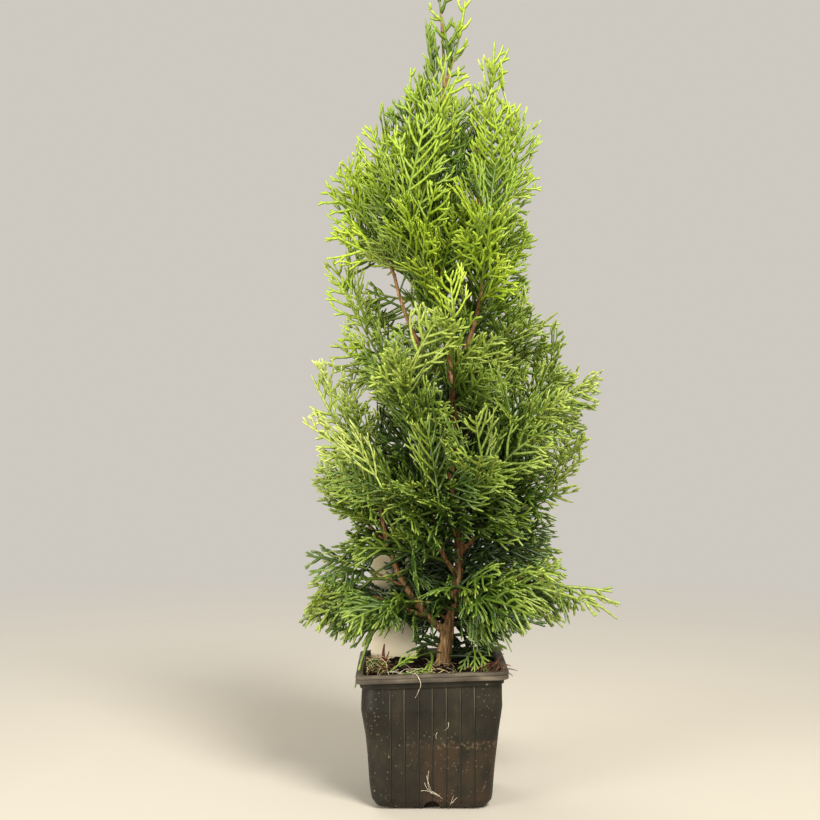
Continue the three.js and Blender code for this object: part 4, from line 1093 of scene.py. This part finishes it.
# Ridges in the bark: how many round the stem, the pitch of their wander, and their share of the depth.
BARK_RIDGES = [(3, 31, 0.9), (5, 19, 0.8), (8, 11, 0.7), (13, 7, 0.5)]
BARK_TURN, BARK_WANDER, BARK_SHIVER, SHIVER_PITCH = 6.28, 1.6, 0.9, 0.37  # radians, and a share of the pitch
BARK_INSET = 0.95  # the wood under its ridges, as a share of the full radius
RELIEF_POWER = 0.7  # thick wood has deeper relief than thin, by this power of its radius
TRUNK_RINGS, TRUNK_SIDES, TRUNK_RELIEF = 520, 36, 0.11
LIMB_PITCH, LIMB_SIDES, LIMB_RELIEF = 0.9, 18, 0.07
LIMB_COLLAR, LIMB_COLLAR_LENGTH = 0.5, 4
TWIG_END, TWIG_RINGS, TWIG_SIDES, TWIG_RELIEF = 0.72, 26, 9, 0.03
TWIG_RADIUS, TWIG_THINNER, TWIG_COLLAR, TWIG_COLLAR_LENGTH = 0.85, 0.45, 0.4, 3
BROWN_LEAST, BROWN_SPREAD, OLIVE_LENGTH = 0.18, 0.16, 0.14  # shares of a twig: brown, and then olive


def fibres(distance, sides, depth, seed):
    """The relief of stringy bark: long ridges that wander round the stem."""
    angle, d = ring_angles(sides), distance[:, None]
    relief = np.zeros((len(distance), sides))
    for k, (ridges, pitch, share) in enumerate(BARK_RIDGES):
        phase = BARK_TURN * chance(seed, k) + BARK_WANDER * np.sin(d / pitch + 5 * chance(seed, k, 1))
        shiver = BARK_SHIVER * np.sin(d / (pitch * SHIVER_PITCH))
        relief += share * np.sin(ridges * angle + phase + shiver)
    return depth * relief


def make_wood():
    """The trunk and the limbs, with the bark's relief and a collar where each leaves its parent."""
    shares = np.linspace(0, 1, TRUNK_RINGS)
    middle, radius = trunk_at(shares), trunk_radius(shares)
    distance = np.concatenate(((0,), np.linalg.norm(np.diff(middle, axis=0), axis=1).cumsum()))
    relief = fibres(distance, TRUNK_SIDES, TRUNK_RELIEF, 1) * column(radius / 3) ** RELIEF_POWER
    along = unit(np.gradient(middle, axis=0))
    parts = [tube_arrays(middle, along, radius * BARK_INSET, TRUNK_SIDES, relief)]
    parts[0][0][:TRUNK_SIDES, 2] = TRUNK_FOOT
    for k, (ends, thick, thin) in enumerate(LIMB_CURVES.values()):
        length = length_of(ends)
        shares = np.linspace(0, 1, int(length / LIMB_PITCH))
        collar = LIMB_COLLAR * thick * np.exp(-shares * length / LIMB_COLLAR_LENGTH)
        radius = thick + (thin - thick) * shares + collar
        relief = fibres(shares * length, LIMB_SIDES, LIMB_RELIEF, 5 + k)
        relief = relief * column(radius / 2) ** RELIEF_POWER
        line = curve_at(ends[None], shares), heading_at(ends[None], shares)
        parts.append(tube_arrays(*line, radius * BARK_INSET, LIMB_SIDES, relief))
    wood = mesh_of("bark_wood", *joined(parts), [bark_look()])
    kept_piece(wood, "bark", "trunk", *LIMB_CURVES)


def make_twigs():
    """The stems of the masses, brown at the foot and green towards the tip."""
    parts, tints = [], []
    shares = np.linspace(0, TWIG_END, TWIG_RINGS)
    for k, (ends, length) in enumerate(zip(STEMS, STEM_LENGTHS)):
        collar = TWIG_COLLAR * np.exp(-shares * length / TWIG_COLLAR_LENGTH)
        relief = fibres(shares * length, TWIG_SIDES, TWIG_RELIEF, 40 + k)
        line = curve_at(ends[None], shares), heading_at(ends[None], shares)
        parts.append(tube_arrays(*line, TWIG_RADIUS - TWIG_THINNER * shares + collar, TWIG_SIDES, relief))
        brown_to = BROWN_LEAST + BROWN_SPREAD * float(chance(k, 61))
        zone = (shares[:-1] > brown_to).astype(int) + (shares[:-1] > brown_to + OLIVE_LENGTH)
        tints.append(np.repeat(zone, TWIG_SIDES))
    caps = np.tile(np.repeat((0, 2), TWIG_SIDES), len(STEMS))
    looks = two_tone_looks("young_twig_", TWIG_COLOURS, 0.6, 0.4)
    twigs = mesh_of("twigs", *joined(parts), looks, np.concatenate(tints), caps)
    kept_piece(twigs, "bark")


# ---------------------------------------------------------------- pot

WALL_FACE, RIM_FACE, CREST_WEAR_AND_HIGHLIGHT, RIDGE_SHADOW = range(4)  # the pot's materials: the wall, the rim with dust and painted light, the ridges' crests with wear and a painted highlight, and a painted shadow beside each ridge
RIDGE_STEP, RIDGES, RIDGE_LOW, RIDGE_HIGH, RIDGE_FADE = 8.2, 7, 6.0, 72.0, 2
RIDGE_PROUD, RIDGE_HALF, RIDGE_SHADOW_TO = 0.4, 0.28, 2.6  # the far side of the painted shadow beside each ridge, in half widths of the ridge
CORNER_STEPS = 9
RING_STEP = 2.4
DENT, DENT_SIZE = 0.45, 26
DENTS_FROM, DENTS_TO = (4, 16), (76, 62)  # heights over which the dents set in and fade again
RIM_INSIDE = 42  # the rim's inner edge is narrower than this, and its corners are tighter
CRISP_FROM = math.radians(35)  # edges sharper than this stay crisp in the shading
HOLE_SIDES, DRAIN_DEEP = 28, 4.0


def rim_rise(x, height):
    return RIM_RISE / 2 * x / RIM_HALF * smooth(POT_TOP * 0.3, POT_TOP * 0.9, height)


def from_ridge(places):
    """How far places along a side lie from the nearest ridge, in steps between ridges."""
    return (places / RIDGE_STEP + RIDGES / 2) % 1 - 0.5


def side_places():
    """Places along one side of the pot, closer together at its moulded ridges, and how proud each is."""
    ridges = (np.arange(RIDGES) - (RIDGES - 1) / 2) * RIDGE_STEP
    at_ridges = (ridges[:, None] + RIDGE_HALF * np.array((-1.6, -1, 0, 1, RIDGE_SHADOW_TO))).ravel()
    between = (ridges[:-1, None] + RIDGE_STEP * np.array((0.35, 0.5, 0.65))).ravel()
    places = np.sort(np.concatenate((at_ridges, between)))
    on_ridge = abs(from_ridge(places)) * RIDGE_STEP < RIDGE_HALF * 1.1
    return places, np.where(on_ridge, RIDGE_PROUD, 0)


def side_tints():
    """The material of each strip between those places, on all four sides and their corners."""
    places, _ = side_places()
    off = from_ridge((places[:-1] + places[1:]) / 2) * RIDGE_STEP / RIDGE_HALF
    # On each ridge, wear and a painted highlight; on its one side, a painted shadow.
    strips = np.where(abs(off) < 1, CREST_WEAR_AND_HIGHLIGHT, np.where((off > 1) & (off < RIDGE_SHADOW_TO), RIDGE_SHADOW, WALL_FACE))
    return np.tile(np.concatenate((strips, np.full(CORNER_STEPS + 2, WALL_FACE))), 4)


def quarter_turned(x, y):
    """The same points on each of the pot's four sides, with x outwards from the first."""
    for turn in np.arange(4) * math.pi / 2:
        cos, sin = math.cos(turn), math.sin(turn)
        yield np.column_stack((x * cos - y * sin, x * sin + y * cos))


def square_ring(half, corner, height, relief=0.0):
    """A ring round the pot with round corners, anticlockwise from above."""
    flat = half - corner
    places, proud = side_places()
    along = places * min(1, 0.97 * flat / abs(places).max())
    angles = np.arange(CORNER_STEPS + 1) / CORNER_STEPS * math.pi / 2
    x = np.concatenate((half + proud * relief, flat + corner * np.cos(angles)))
    y = np.concatenate((along, flat + corner * np.sin(angles)))
    ring = np.concatenate(list(quarter_turned(x, y)))
    return np.column_stack((ring, height + rim_rise(ring[:, 0], height)))


def wall_half(height):
    return np.interp(height, *WALL_LINE.T)


def dented(ring):
    """Thin plastic is never quite flat: slow dents of a third of a millimetre."""
    push = np.array([noise.noise(Vector(point) / DENT_SIZE) for point in ring])
    push *= DENT * smooth(*DENTS_FROM, ring[:, 2]) * smooth(*DENTS_TO, ring[:, 2])
    share = 1 + push / abs(ring[:, :2]).max(axis=1)
    return ring * np.column_stack((share, share, np.ones(len(ring))))


def make_pot():
    rings, faces = [], []
    heights = np.concatenate((WALL_LINE[:-3, 0], np.arange(2, 73, RING_STEP)))
    for height in np.unique(heights):
        relief = smooth(RIDGE_LOW - RIDGE_FADE, RIDGE_LOW, height)
        relief *= smooth(RIDGE_HIGH, RIDGE_HIGH - RIDGE_FADE, height)
        rings.append(dented(square_ring(wall_half(height), POT_CORNER, height, relief)))
        faces.append(side_tints())
    around = len(rings[0])
    rings += [square_ring(half, POT_CORNER, height) for height, half in BEAD_LINE]
    faces += [np.full(around, WALL_FACE)] * (len(BEAD_LINE) - 1)
    for height, half in RIM_LINE:
        rings.append(square_ring(half, RIM_CORNER if half > RIM_INSIDE else RIM_CORNER - 2, height))
    faces += [np.full(around, RIM_FACE)] * (len(RIM_LINE) + 1)
    for height in INSIDE_HEIGHTS:
        rings.append(square_ring(wall_half(min(height, NECK)) - WALL, POT_CORNER - 1, height))
    faces += [np.full(around, WALL_FACE)] * (len(INSIDE_HEIGHTS) - 1)
    points = np.vstack((*rings, (0, 0, 0), (0, 0, POT_FLOOR)))
    quads, caps = tube_faces(len(rings), around, anticlockwise=True)
    pot = mesh_of("pot_shell", points, quads, caps, pot_looks(), np.concatenate(faces), np.zeros(len(caps)))
    cut_openings(pot)
    for polygon in pot.data.polygons:
        polygon.use_smooth = True
    pot.data.set_sharp_from_angle(angle=CRISP_FROM)
    kept_piece(pot, "pot_plastic", "pot")


def prism(low, high):
    """A closed prism between two rings of points."""
    return np.vstack((low, high, low.mean(axis=0), high.mean(axis=0))), *tube_faces(2, len(low))


def cut_openings(pot):
    """The air notch in the middle of each lower edge, and the four drain holes."""
    angle, bits = ring_angles(HOLE_SIDES), []
    across, height = NOTCH_HALF * np.cos(angle), NOTCH_HEIGHT * np.sin(angle)
    circle = DRAIN_RADIUS * np.column_stack((np.cos(angle), np.sin(angle)))
    out, spot = wall_half(NOTCH_HEIGHT) + 1, np.array((DRAIN_FROM,))
    places = (across, out - NOTCH_DEPTH), (across, out), (spot, spot)
    for inner, outer, drain in zip(*(quarter_turned(*place) for place in places)):
        bits.append(prism(np.column_stack((inner, height)), np.column_stack((outer, height))))
        depths = np.full(HOLE_SIDES, DRAIN_DEEP)
        bits.append(prism(*(np.column_stack((drain + circle, z)) for z in (depths, -depths))))
    cutter = mesh_of("cutter", *joined(bits), [])
    cut = pot.modifiers.new("openings", "BOOLEAN")
    cut.object = cutter
    cut.operation = "DIFFERENCE"
    cut.solver = "EXACT"
    graph = bpy.context.evaluated_depsgraph_get()
    done = bpy.data.meshes.new_from_object(pot.evaluated_get(graph))
    pot.modifiers.clear()
    pot.data = done
    bpy.data.objects.remove(cutter)


# ---------------------------------------------------------------- soil

MOUND_X, MOUND_Y, MOUND_RISE, MOUND_WIDTH = -26, -14, 2.2, 160
SOIL_CROWN, LUMP_RISE, SOIL_SLOPE = 0.9, 1.3, (22, 40)  # between these the top slopes down to its edge
SOIL_CELLS, SOIL_ROOM, SOIL_CORNER = 84, 0.5, POT_CORNER - 1.2
SOIL_HALF = wall_half(NECK) - WALL - SOIL_ROOM
SOIL_FOOT = POT_FLOOR + 0.3
COARSE, COARSE_SIZE, FINE, FINE_SIZE = 1.5, 5, 1.1, 1.9
CRUMBS, CRUMB_AREA, CRUMB_LEAST, CRUMB_SPREAD, CRUMB_RISE = 900, 78, 0.5, 1.1, 0.4
BARK_CRUMBS_FROM, GRAINS_FROM, GRAIN_SMALLER = 0.7, 0.985, 0.7
PUSH_LEAST, PUSH_SPREAD, STRETCH_LEAST, STRETCH_SPREAD = 0.62, 0.6, 0.6, 0.8  # how crumbs lose their evenness


def soil_height(x, y):
    """How high the crumbly top stands, as the packed soil has it, with its lumps and a mound."""
    lumps = np.sin(x * 0.31 + 1.3) * np.cos(y * 0.27 + 0.4) + 0.5 * np.sin(x * 0.13 - y * 0.22)
    mound = MOUND_RISE * np.exp(-((x - MOUND_X) ** 2 + (y - MOUND_Y) ** 2) / MOUND_WIDTH)
    to_edge = smooth(*SOIL_SLOPE, np.maximum(abs(x), abs(y)))
    middle = SOIL_TOP + SOIL_CROWN + LUMP_RISE * (0.6 + 0.5 * lumps) + mound
    edge = SOIL_EDGE + rim_rise(x, SOIL_EDGE)
    return middle + (edge - middle) * to_edge


def rounded(along, across):
    """One coordinate of points in a square, drawn in to the square's round corners."""
    straight = SOIL_HALF - SOIL_CORNER
    past = np.hypot(np.maximum(abs(along) - straight, 0), np.maximum(abs(across) - straight, 0))
    pull = SOIL_CORNER / np.maximum(past, 1e-6)
    return np.where(past > SOIL_CORNER, np.sign(along) * (straight + (abs(along) - straight) * pull), along)


def soil_block():
    """A rough crumbly surface on a plain block that fills the pot."""
    line = np.linspace(-SOIL_HALF, SOIL_HALF, SOIL_CELLS + 1)
    x, y = np.meshgrid(line, line, indexing="ij")
    x, y = rounded(x, y), rounded(y, x)
    coarse, fine = (
        [noise.noise(Vector((a, b, key)) / size) * depth for a, b in zip(x.ravel(), y.ravel())]
        for key, size, depth in ((0, COARSE_SIZE, COARSE), (9, FINE_SIZE, FINE))
    )
    z = soil_height(x, y) + np.reshape(np.add(coarse, fine), x.shape)
    top = np.stack((x, y, z), axis=-1).reshape(-1, 3)
    index = np.arange(len(top)).reshape(x.shape)
    cells = (index[:-1, :-1], index[1:, :-1], index[1:, 1:], index[:-1, 1:])
    quads = [np.stack(cells, axis=-1).reshape(-1, 4)]
    border = np.concatenate((index[:, 0], index[-1, 1:], index[-2::-1, -1], index[0, -2:0:-1]))
    points, below, around = [top], border, np.arange(len(border))
    for k, height in enumerate((60.0, 30.0, 5.0, SOIL_FOOT)):
        share = (wall_half(height) - WALL - SOIL_ROOM) / SOIL_HALF
        points.append(top[border] * (share, share, 0) + (0, 0, height))
        new = len(top) + k * len(border) + around
        quads.append(np.stack((below, np.roll(below, 1), np.roll(new, 1), new), axis=-1))
        below = new
    points = np.vstack((*points, (0, 0, SOIL_FOOT)))
    foot = np.column_stack((np.full(len(below), len(points) - 1), np.roll(below, -1), below))
    return points, np.concatenate(quads), foot


def icosahedron():
    """Its corners, and the triples that are all next to each other, turned outwards."""
    gold = (1 + math.sqrt(5)) / 2
    corners = [row for a in (-1, 1) for b in (-gold, gold) for row in ((0, a, b), (a, b, 0), (b, 0, a))]
    corners = unit(np.array(corners, float))
    near = np.linalg.norm(corners[:, None] - corners, axis=-1) < 1.2
    faces = []
    for a, b, c in combinations(range(len(corners)), 3):
        if near[a, b] and near[b, c] and near[a, c]:
            out = np.dot(np.cross(corners[b] - corners[a], corners[c] - corners[a]), corners[a])
            faces.append((a, b, c) if out > 0 else (a, c, b))
    return corners, np.array(faces)


def soil_crumbs():
    """Rough closed crumbs on the soil, icosahedra with their corners pushed in and out, and their tints."""
    corners, faces = icosahedron()
    crumbs, tints = [], []
    for k in range(CRUMBS):
        x, y = CRUMB_AREA * (chance(k, 1) - 0.5), CRUMB_AREA * (chance(k, 2) - 0.5)
        size = CRUMB_LEAST + CRUMB_SPREAD * chance(k, 3) ** 2
        z = soil_height(x, y) + CRUMB_RISE * chance(k, 4)
        kind = int(chance(k, 5) > BARK_CRUMBS_FROM) + int(chance(k, 5) > GRAINS_FROM)
        push = PUSH_LEAST + PUSH_SPREAD * chance(k, np.arange(len(corners)), 2)
        stretch = STRETCH_LEAST + STRETCH_SPREAD * chance(k, np.arange(3), 3)
        stretch *= size * (GRAIN_SMALLER if kind == 2 else 1)
        points = np.array((x, y, z)) + corners * column(push) * stretch
        crumbs.append((points, np.zeros((0, 4), int), faces))
        tints.append(kind)
    return crumbs, tints


def make_soil():
    crumbs, tints = soil_crumbs()
    soil = mesh_of_parts("soil_filling", [soil_block(), *crumbs], [0, *tints], soil_looks())
    kept_piece(soil, "soil", "soil")


# ---------------------------------------------------------------- litter

# Loose fibres in patches: kind, middle, half size across and up, how many, length, radius.
FIBRE_PATCHES = [
    ("moss", (-33, -22, 82), 6.0, 4.2, 60, 6.0, 0.24),
    ("straw", (-33, -24, 83), 6.5, 4.6, 44, 8.0, 0.18),
    ("dry_leaf", (-33, -24, 81), 6.5, 2.6, 20, 6.0, 0.3),
    ("straw", (0, -33, 78.5), 16.0, 1.0, 34, 10.0, 0.2),
    ("moss", (-14, -34, 78.5), 9.0, 1.2, 26, 6.0, 0.24),
    ("straw", (6, -6, 79.5), 8.0, 1.6, 22, 8.0, 0.2),
    ("root", (-10, -30, 79.5), 12.0, 1.4, 12, 9.0, 0.14),
    ("dry_leaf", (37, -31, 83), 5.5, 4.5, 30, 7.0, 0.6),
    ("dry_leaf", (30, -20, 79.5), 9.0, 1.4, 18, 6.0, 0.36),
    ("straw", (30, -24, 80), 10.0, 1.6, 14, 9.0, 0.2),
]
# Single bits: kind, start, bend, tip, radius.
LONE_BITS = [
    ("dead_twig", (-28, -24, 80), (-29.8, -24, 87), (-28.3, -23.5, 96), 1.3),
    ("dead_twig", (-28.6, -24, 86), (-26.5, -24.5, 88), (-25.5, -24, 92), 0.6),
    ("dead_twig", (-29, -24, 85), (-31.5, -24, 87), (-32.5, -23.5, 90), 0.6),
    ("dry_leaf", (36, -36, 80), (41, -39, 89), (46, -41, 86), 0.6),
    ("dry_leaf", (37, -35, 80), (43, -38, 86), (50, -40, 83), 0.5),
    ("dry_leaf", (38, -36, 80), (44, -40, 84), (47, -42.5, 80.5), 0.5),
    ("dry_leaf", (35, -34, 80), (39, -36, 90), (42, -38, 93), 0.5),
    ("dry_leaf", (37, -37, 80), (42, -41, 82), (44, -43, 85), 0.6),
    ("root", (-12, -40, 79), (-10.5, -46.4, 85), (-8.2, -45.7, 80.5), 0.2),
    ("root", (-8.2, -45.7, 80.5), (-5.6, -46.2, 76), (-7.6, -44.0, 73.2), 0.2),
    ("root", (-7.6, -44.0, 73.2), (-8.6, -43.8, 70), (-10.2, -42.8, 67.6), 0.13),
    ("root", (-11.4, -40, 79), (-9.0, -46.6, 84), (-7.6, -45.8, 79), 0.14),
    ("root", (9.4, -40.6, 53), (10.4, -41.4, 50), (7.4, -40.6, 48.6), 0.11),
    ("root", (3.0, -40.2, 47), (1.6, -40.8, 46), (2.6, -40.0, 43), 0.1),
    ("root", (-2.0, -38.5, 24), (-3.6, -38.7, 15), (-0.5, -37.6, 11), 0.1),
    ("root", (-3.2, -38.3, 21), (-2.0, -38.6, 15), (0.6, -37.6, 10), 0.09),
    ("root", (-4.4, -38.0, 17), (-3.4, -38.2, 13), (-0.2, -37.6, 11), 0.1),
    ("root", (-6.6, -37.6, 12), (-3.0, -38.0, 13), (0.2, -37.4, 10.6), 0.1),
    ("root", (-0.5, -37.8, 12), (3.0, -37.9, 10.5), (6.2, -37.2, 7.2), 0.12),
    ("root", (-1.0, -37.8, 11), (2.0, -37.9, 10.6), (4.2, -37.3, 8.6), 0.13),
    ("root", (10.6, -37.2, 3.6), (11.8, -37.7, 7), (12.6, -37.6, 9.6), 0.1),
    ("root", (11.6, -37.2, 4.6), (13.0, -37.7, 7), (15.0, -37.6, 8.2), 0.12),
]
# Sprigs fallen on the soil: foot, tip, the way their flat side faces, and their tint.
SPRIGS = [
    ((-25, -30, 80.5), (-8, -31, 92), (0.1, -1, 0.4), 3),
    ((-20, -33, 79.5), (2, -36, 81.5), (0, -0.4, 1), 2),
    ((24, -24, 92), (16, -33, 80), (0.2, -1, 0.5), 2),
    ((26, -24, 93), (25, -35, 79.5), (0, -1, 0.5), 3),
    ((28, -24, 92), (33, -35, 80.5), (-0.2, -1, 0.5), 3),
]
SPRIG_FINGERS = [(0.3, 1.0), (0.42, -1.0), (0.56, 1.0), (0.68, -1.0)]  # share of the sprig, and side
FIBRE_ARCH, FIBRE_BOW, FIBRE_TAPER = 0.25, 0.3, 0.7  # how far fibres bend up and aside, and thin out
SPRIG_BEND = (0, -1, 2)  # how far the middle of a sprig stands off the straight line
SPRIG_LEAN, SPRIG_CURL, SPRIG_DROOP, SPRIG_REACH, SPRIG_HALF = math.radians(34), 0.2, 0.04, 0.42, 0.75


def fibre(ends, radius, rings=7, sides=4):
    """A thin closed fibre along a quadratic curve, pointed at its tip."""
    ends = np.array(ends, float)[None]
    shares = np.linspace(0, 1, rings)
    size = radius * (1 - FIBRE_TAPER * shares**2)
    return tube_arrays(curve_at(ends, shares), heading_at(ends, shares), size, sides)


def patch_fibres(number, middle, half, rise, count, length, radius):
    """Curved fibres that lie every way in a low patch."""
    key = number * 100 + np.arange(count)
    where, way = (
        np.stack([chance(key, first + i) - 0.5 for i in range(3)], axis=1) * size
        for first, size in ((70, (2 * half, 2 * half, 2 * rise)), (73, (1, 1, 0.5)))
    )
    way = unit(way)
    long = column(length * (0.5 + chance(key, 76)))
    start = np.array(middle, float) + where - way * long / 2
    tip = start + way * long
    bow = np.cross(way, UP) * (long * FIBRE_BOW * column(chance(key, 77) - 0.5))
    bend = (start + tip) / 2 + UP * long * FIBRE_ARCH + bow
    ends = np.stack((start, bend, tip), axis=1)
    ends[..., 2] = np.maximum(SOIL_TOP + radius, ends[..., 2])
    reach = wall_half(NECK) - WALL - 1.0
    ends[..., :2] = np.clip(ends[..., :2], -reach, reach)
    return [fibre(row, radius) for row in ends]


def make_litter():
    """Moss, straw, root hairs and dry leaf on the soil, and root hairs that cling to the pot."""
    kinds = list(LITTER_COLOURS)
    parts, tints = [], []
    for number, (kind, *patch) in enumerate(FIBRE_PATCHES):
        fibres_here = patch_fibres(number, *patch)
        parts += fibres_here
        tints += [kinds.index(kind)] * len(fibres_here)
    for kind, *ends, radius in LONE_BITS:
        parts.append(fibre(ends, radius, 12, 6))
        tints.append(kinds.index(kind))
    looks = two_tone_looks("litter_", LITTER_COLOURS, 0.8, 0.25)
    kept_piece(mesh_of_parts("soil_litter", parts, tints, looks), "soil")


def make_sprigs(materials):
    """Short green sprigs that lie on the soil."""
    ends = np.array([(foot, np.add(foot, tip) / 2 + SPRIG_BEND, tip) for foot, tip, _, _ in SPRIGS], float)
    normal = unit(np.array([row[2] for row in SPRIGS], float))
    shoots, same = [ends], np.ones(len(ends))
    for share, side in SPRIG_FINGERS:
        reach = length_of(ends) * SPRIG_REACH * (1.3 - share)
        way = side * same, reach, SPRIG_LEAN * same, 0 * same, SPRIG_CURL, SPRIG_DROOP
        shoots.append(branch_off(ends, normal, share * same, *way)[0])
    shoots, again = np.concatenate(shoots), len(shoots)
    tint = np.tile([row[3] for row in SPRIGS], again)
    flats, half = np.tile(normal, (again, 1)), np.full(len(shoots), SPRIG_HALF)
    points, quads, caps, *tints = shoot_arrays(shoots, flats, half, tint, tint + 1)
    kept_piece(mesh_of("fallen_sprigs", points, quads, caps, materials, *tints), "foliage")


# ---------------------------------------------------------------- stage

FLOOR_RADIUS, FLOOR_SOLID = 1.1, 0.25  # metres: the floor's own, and how far out it is still solid
FLOOR_COLOUR, STUDIO_COLOUR = (180, 174, 161), (206, 201, 192)
LIT_POINT = (0, 0, 0.25)
# Name, place, width and power.
LIGHTS = [
    ("key_light", (0.6, -1.2, 1.5), 0.7, 58),
    ("fill_light", (-1.2, -1.1, 0.4), 0.8, 26),
    ("back_light", (-0.6, 1.1, 1.3), 1.0, 10),
]
LIGHT_COLOUR = (1.0, 0.97, 0.92)
CAMERA_PLACE, CAMERA_LENS, CAMERA_SENSOR = (-0.013, -0.845, 0.236), 60.3, 36


def make_stage():
    """A pale round floor that melts into the studio's light well away from the plant."""
    bpy.ops.mesh.primitive_circle_add(vertices=96, radius=FLOOR_RADIUS, fill_type="NGON")
    floor = bpy.context.object
    floor.name = "floor"
    look = Look("pale_floor", 0.7, 0.2, FLOOR_COLOUR)
    far = look.add("ShaderNodeVectorMath", "LENGTH", Vector=look.place())
    look.set(Alpha=look.range(far.outputs["Value"], FLOOR_RADIUS, FLOOR_SOLID))
    floor.data.materials.append(look.material)

    world = bpy.data.worlds.new("studio")
    bpy.context.scene.world = world
    world.use_nodes = True
    background = world.node_tree.nodes["Background"]
    background.inputs["Color"].default_value = srgb(*STUDIO_COLOUR)
    background.inputs["Strength"].default_value = 1.0


def make_lights():
    for name, place, size, power in LIGHTS:
        light = bpy.data.lights.new(name, "AREA")
        light.shape = "DISK"
        light.size = size
        light.energy = power
        light.color = LIGHT_COLOUR
        lamp = bpy.data.objects.new(name, light)
        lamp.location = place
        lamp.rotation_euler = (Vector(LIT_POINT) - Vector(place)).to_track_quat("-Z", "Y").to_euler()
        bpy.context.scene.collection.objects.link(lamp)


def make_camera():
    camera = bpy.data.cameras.new("camera")
    camera.lens = CAMERA_LENS
    camera.sensor_width = CAMERA_SENSOR
    view = bpy.data.objects.new("camera", camera)
    view.location = CAMERA_PLACE
    view.rotation_euler = (math.pi / 2, 0, 0)
    bpy.context.scene.collection.objects.link(view)
    bpy.context.scene.camera = view


# ---------------------------------------------------------------- everything

bpy.context.scene.view_settings.view_transform = "Standard"
make_camera()
make_stage()
make_lights()
make_wood()
make_twigs()
leaf_looks = leaf_materials()
make_leaves(leaf_looks)
make_pot()
make_soil()
make_litter()
make_sprigs(leaf_looks)
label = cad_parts["plant_label"]
label.data.materials.clear()
label.data.materials.append(label_look())
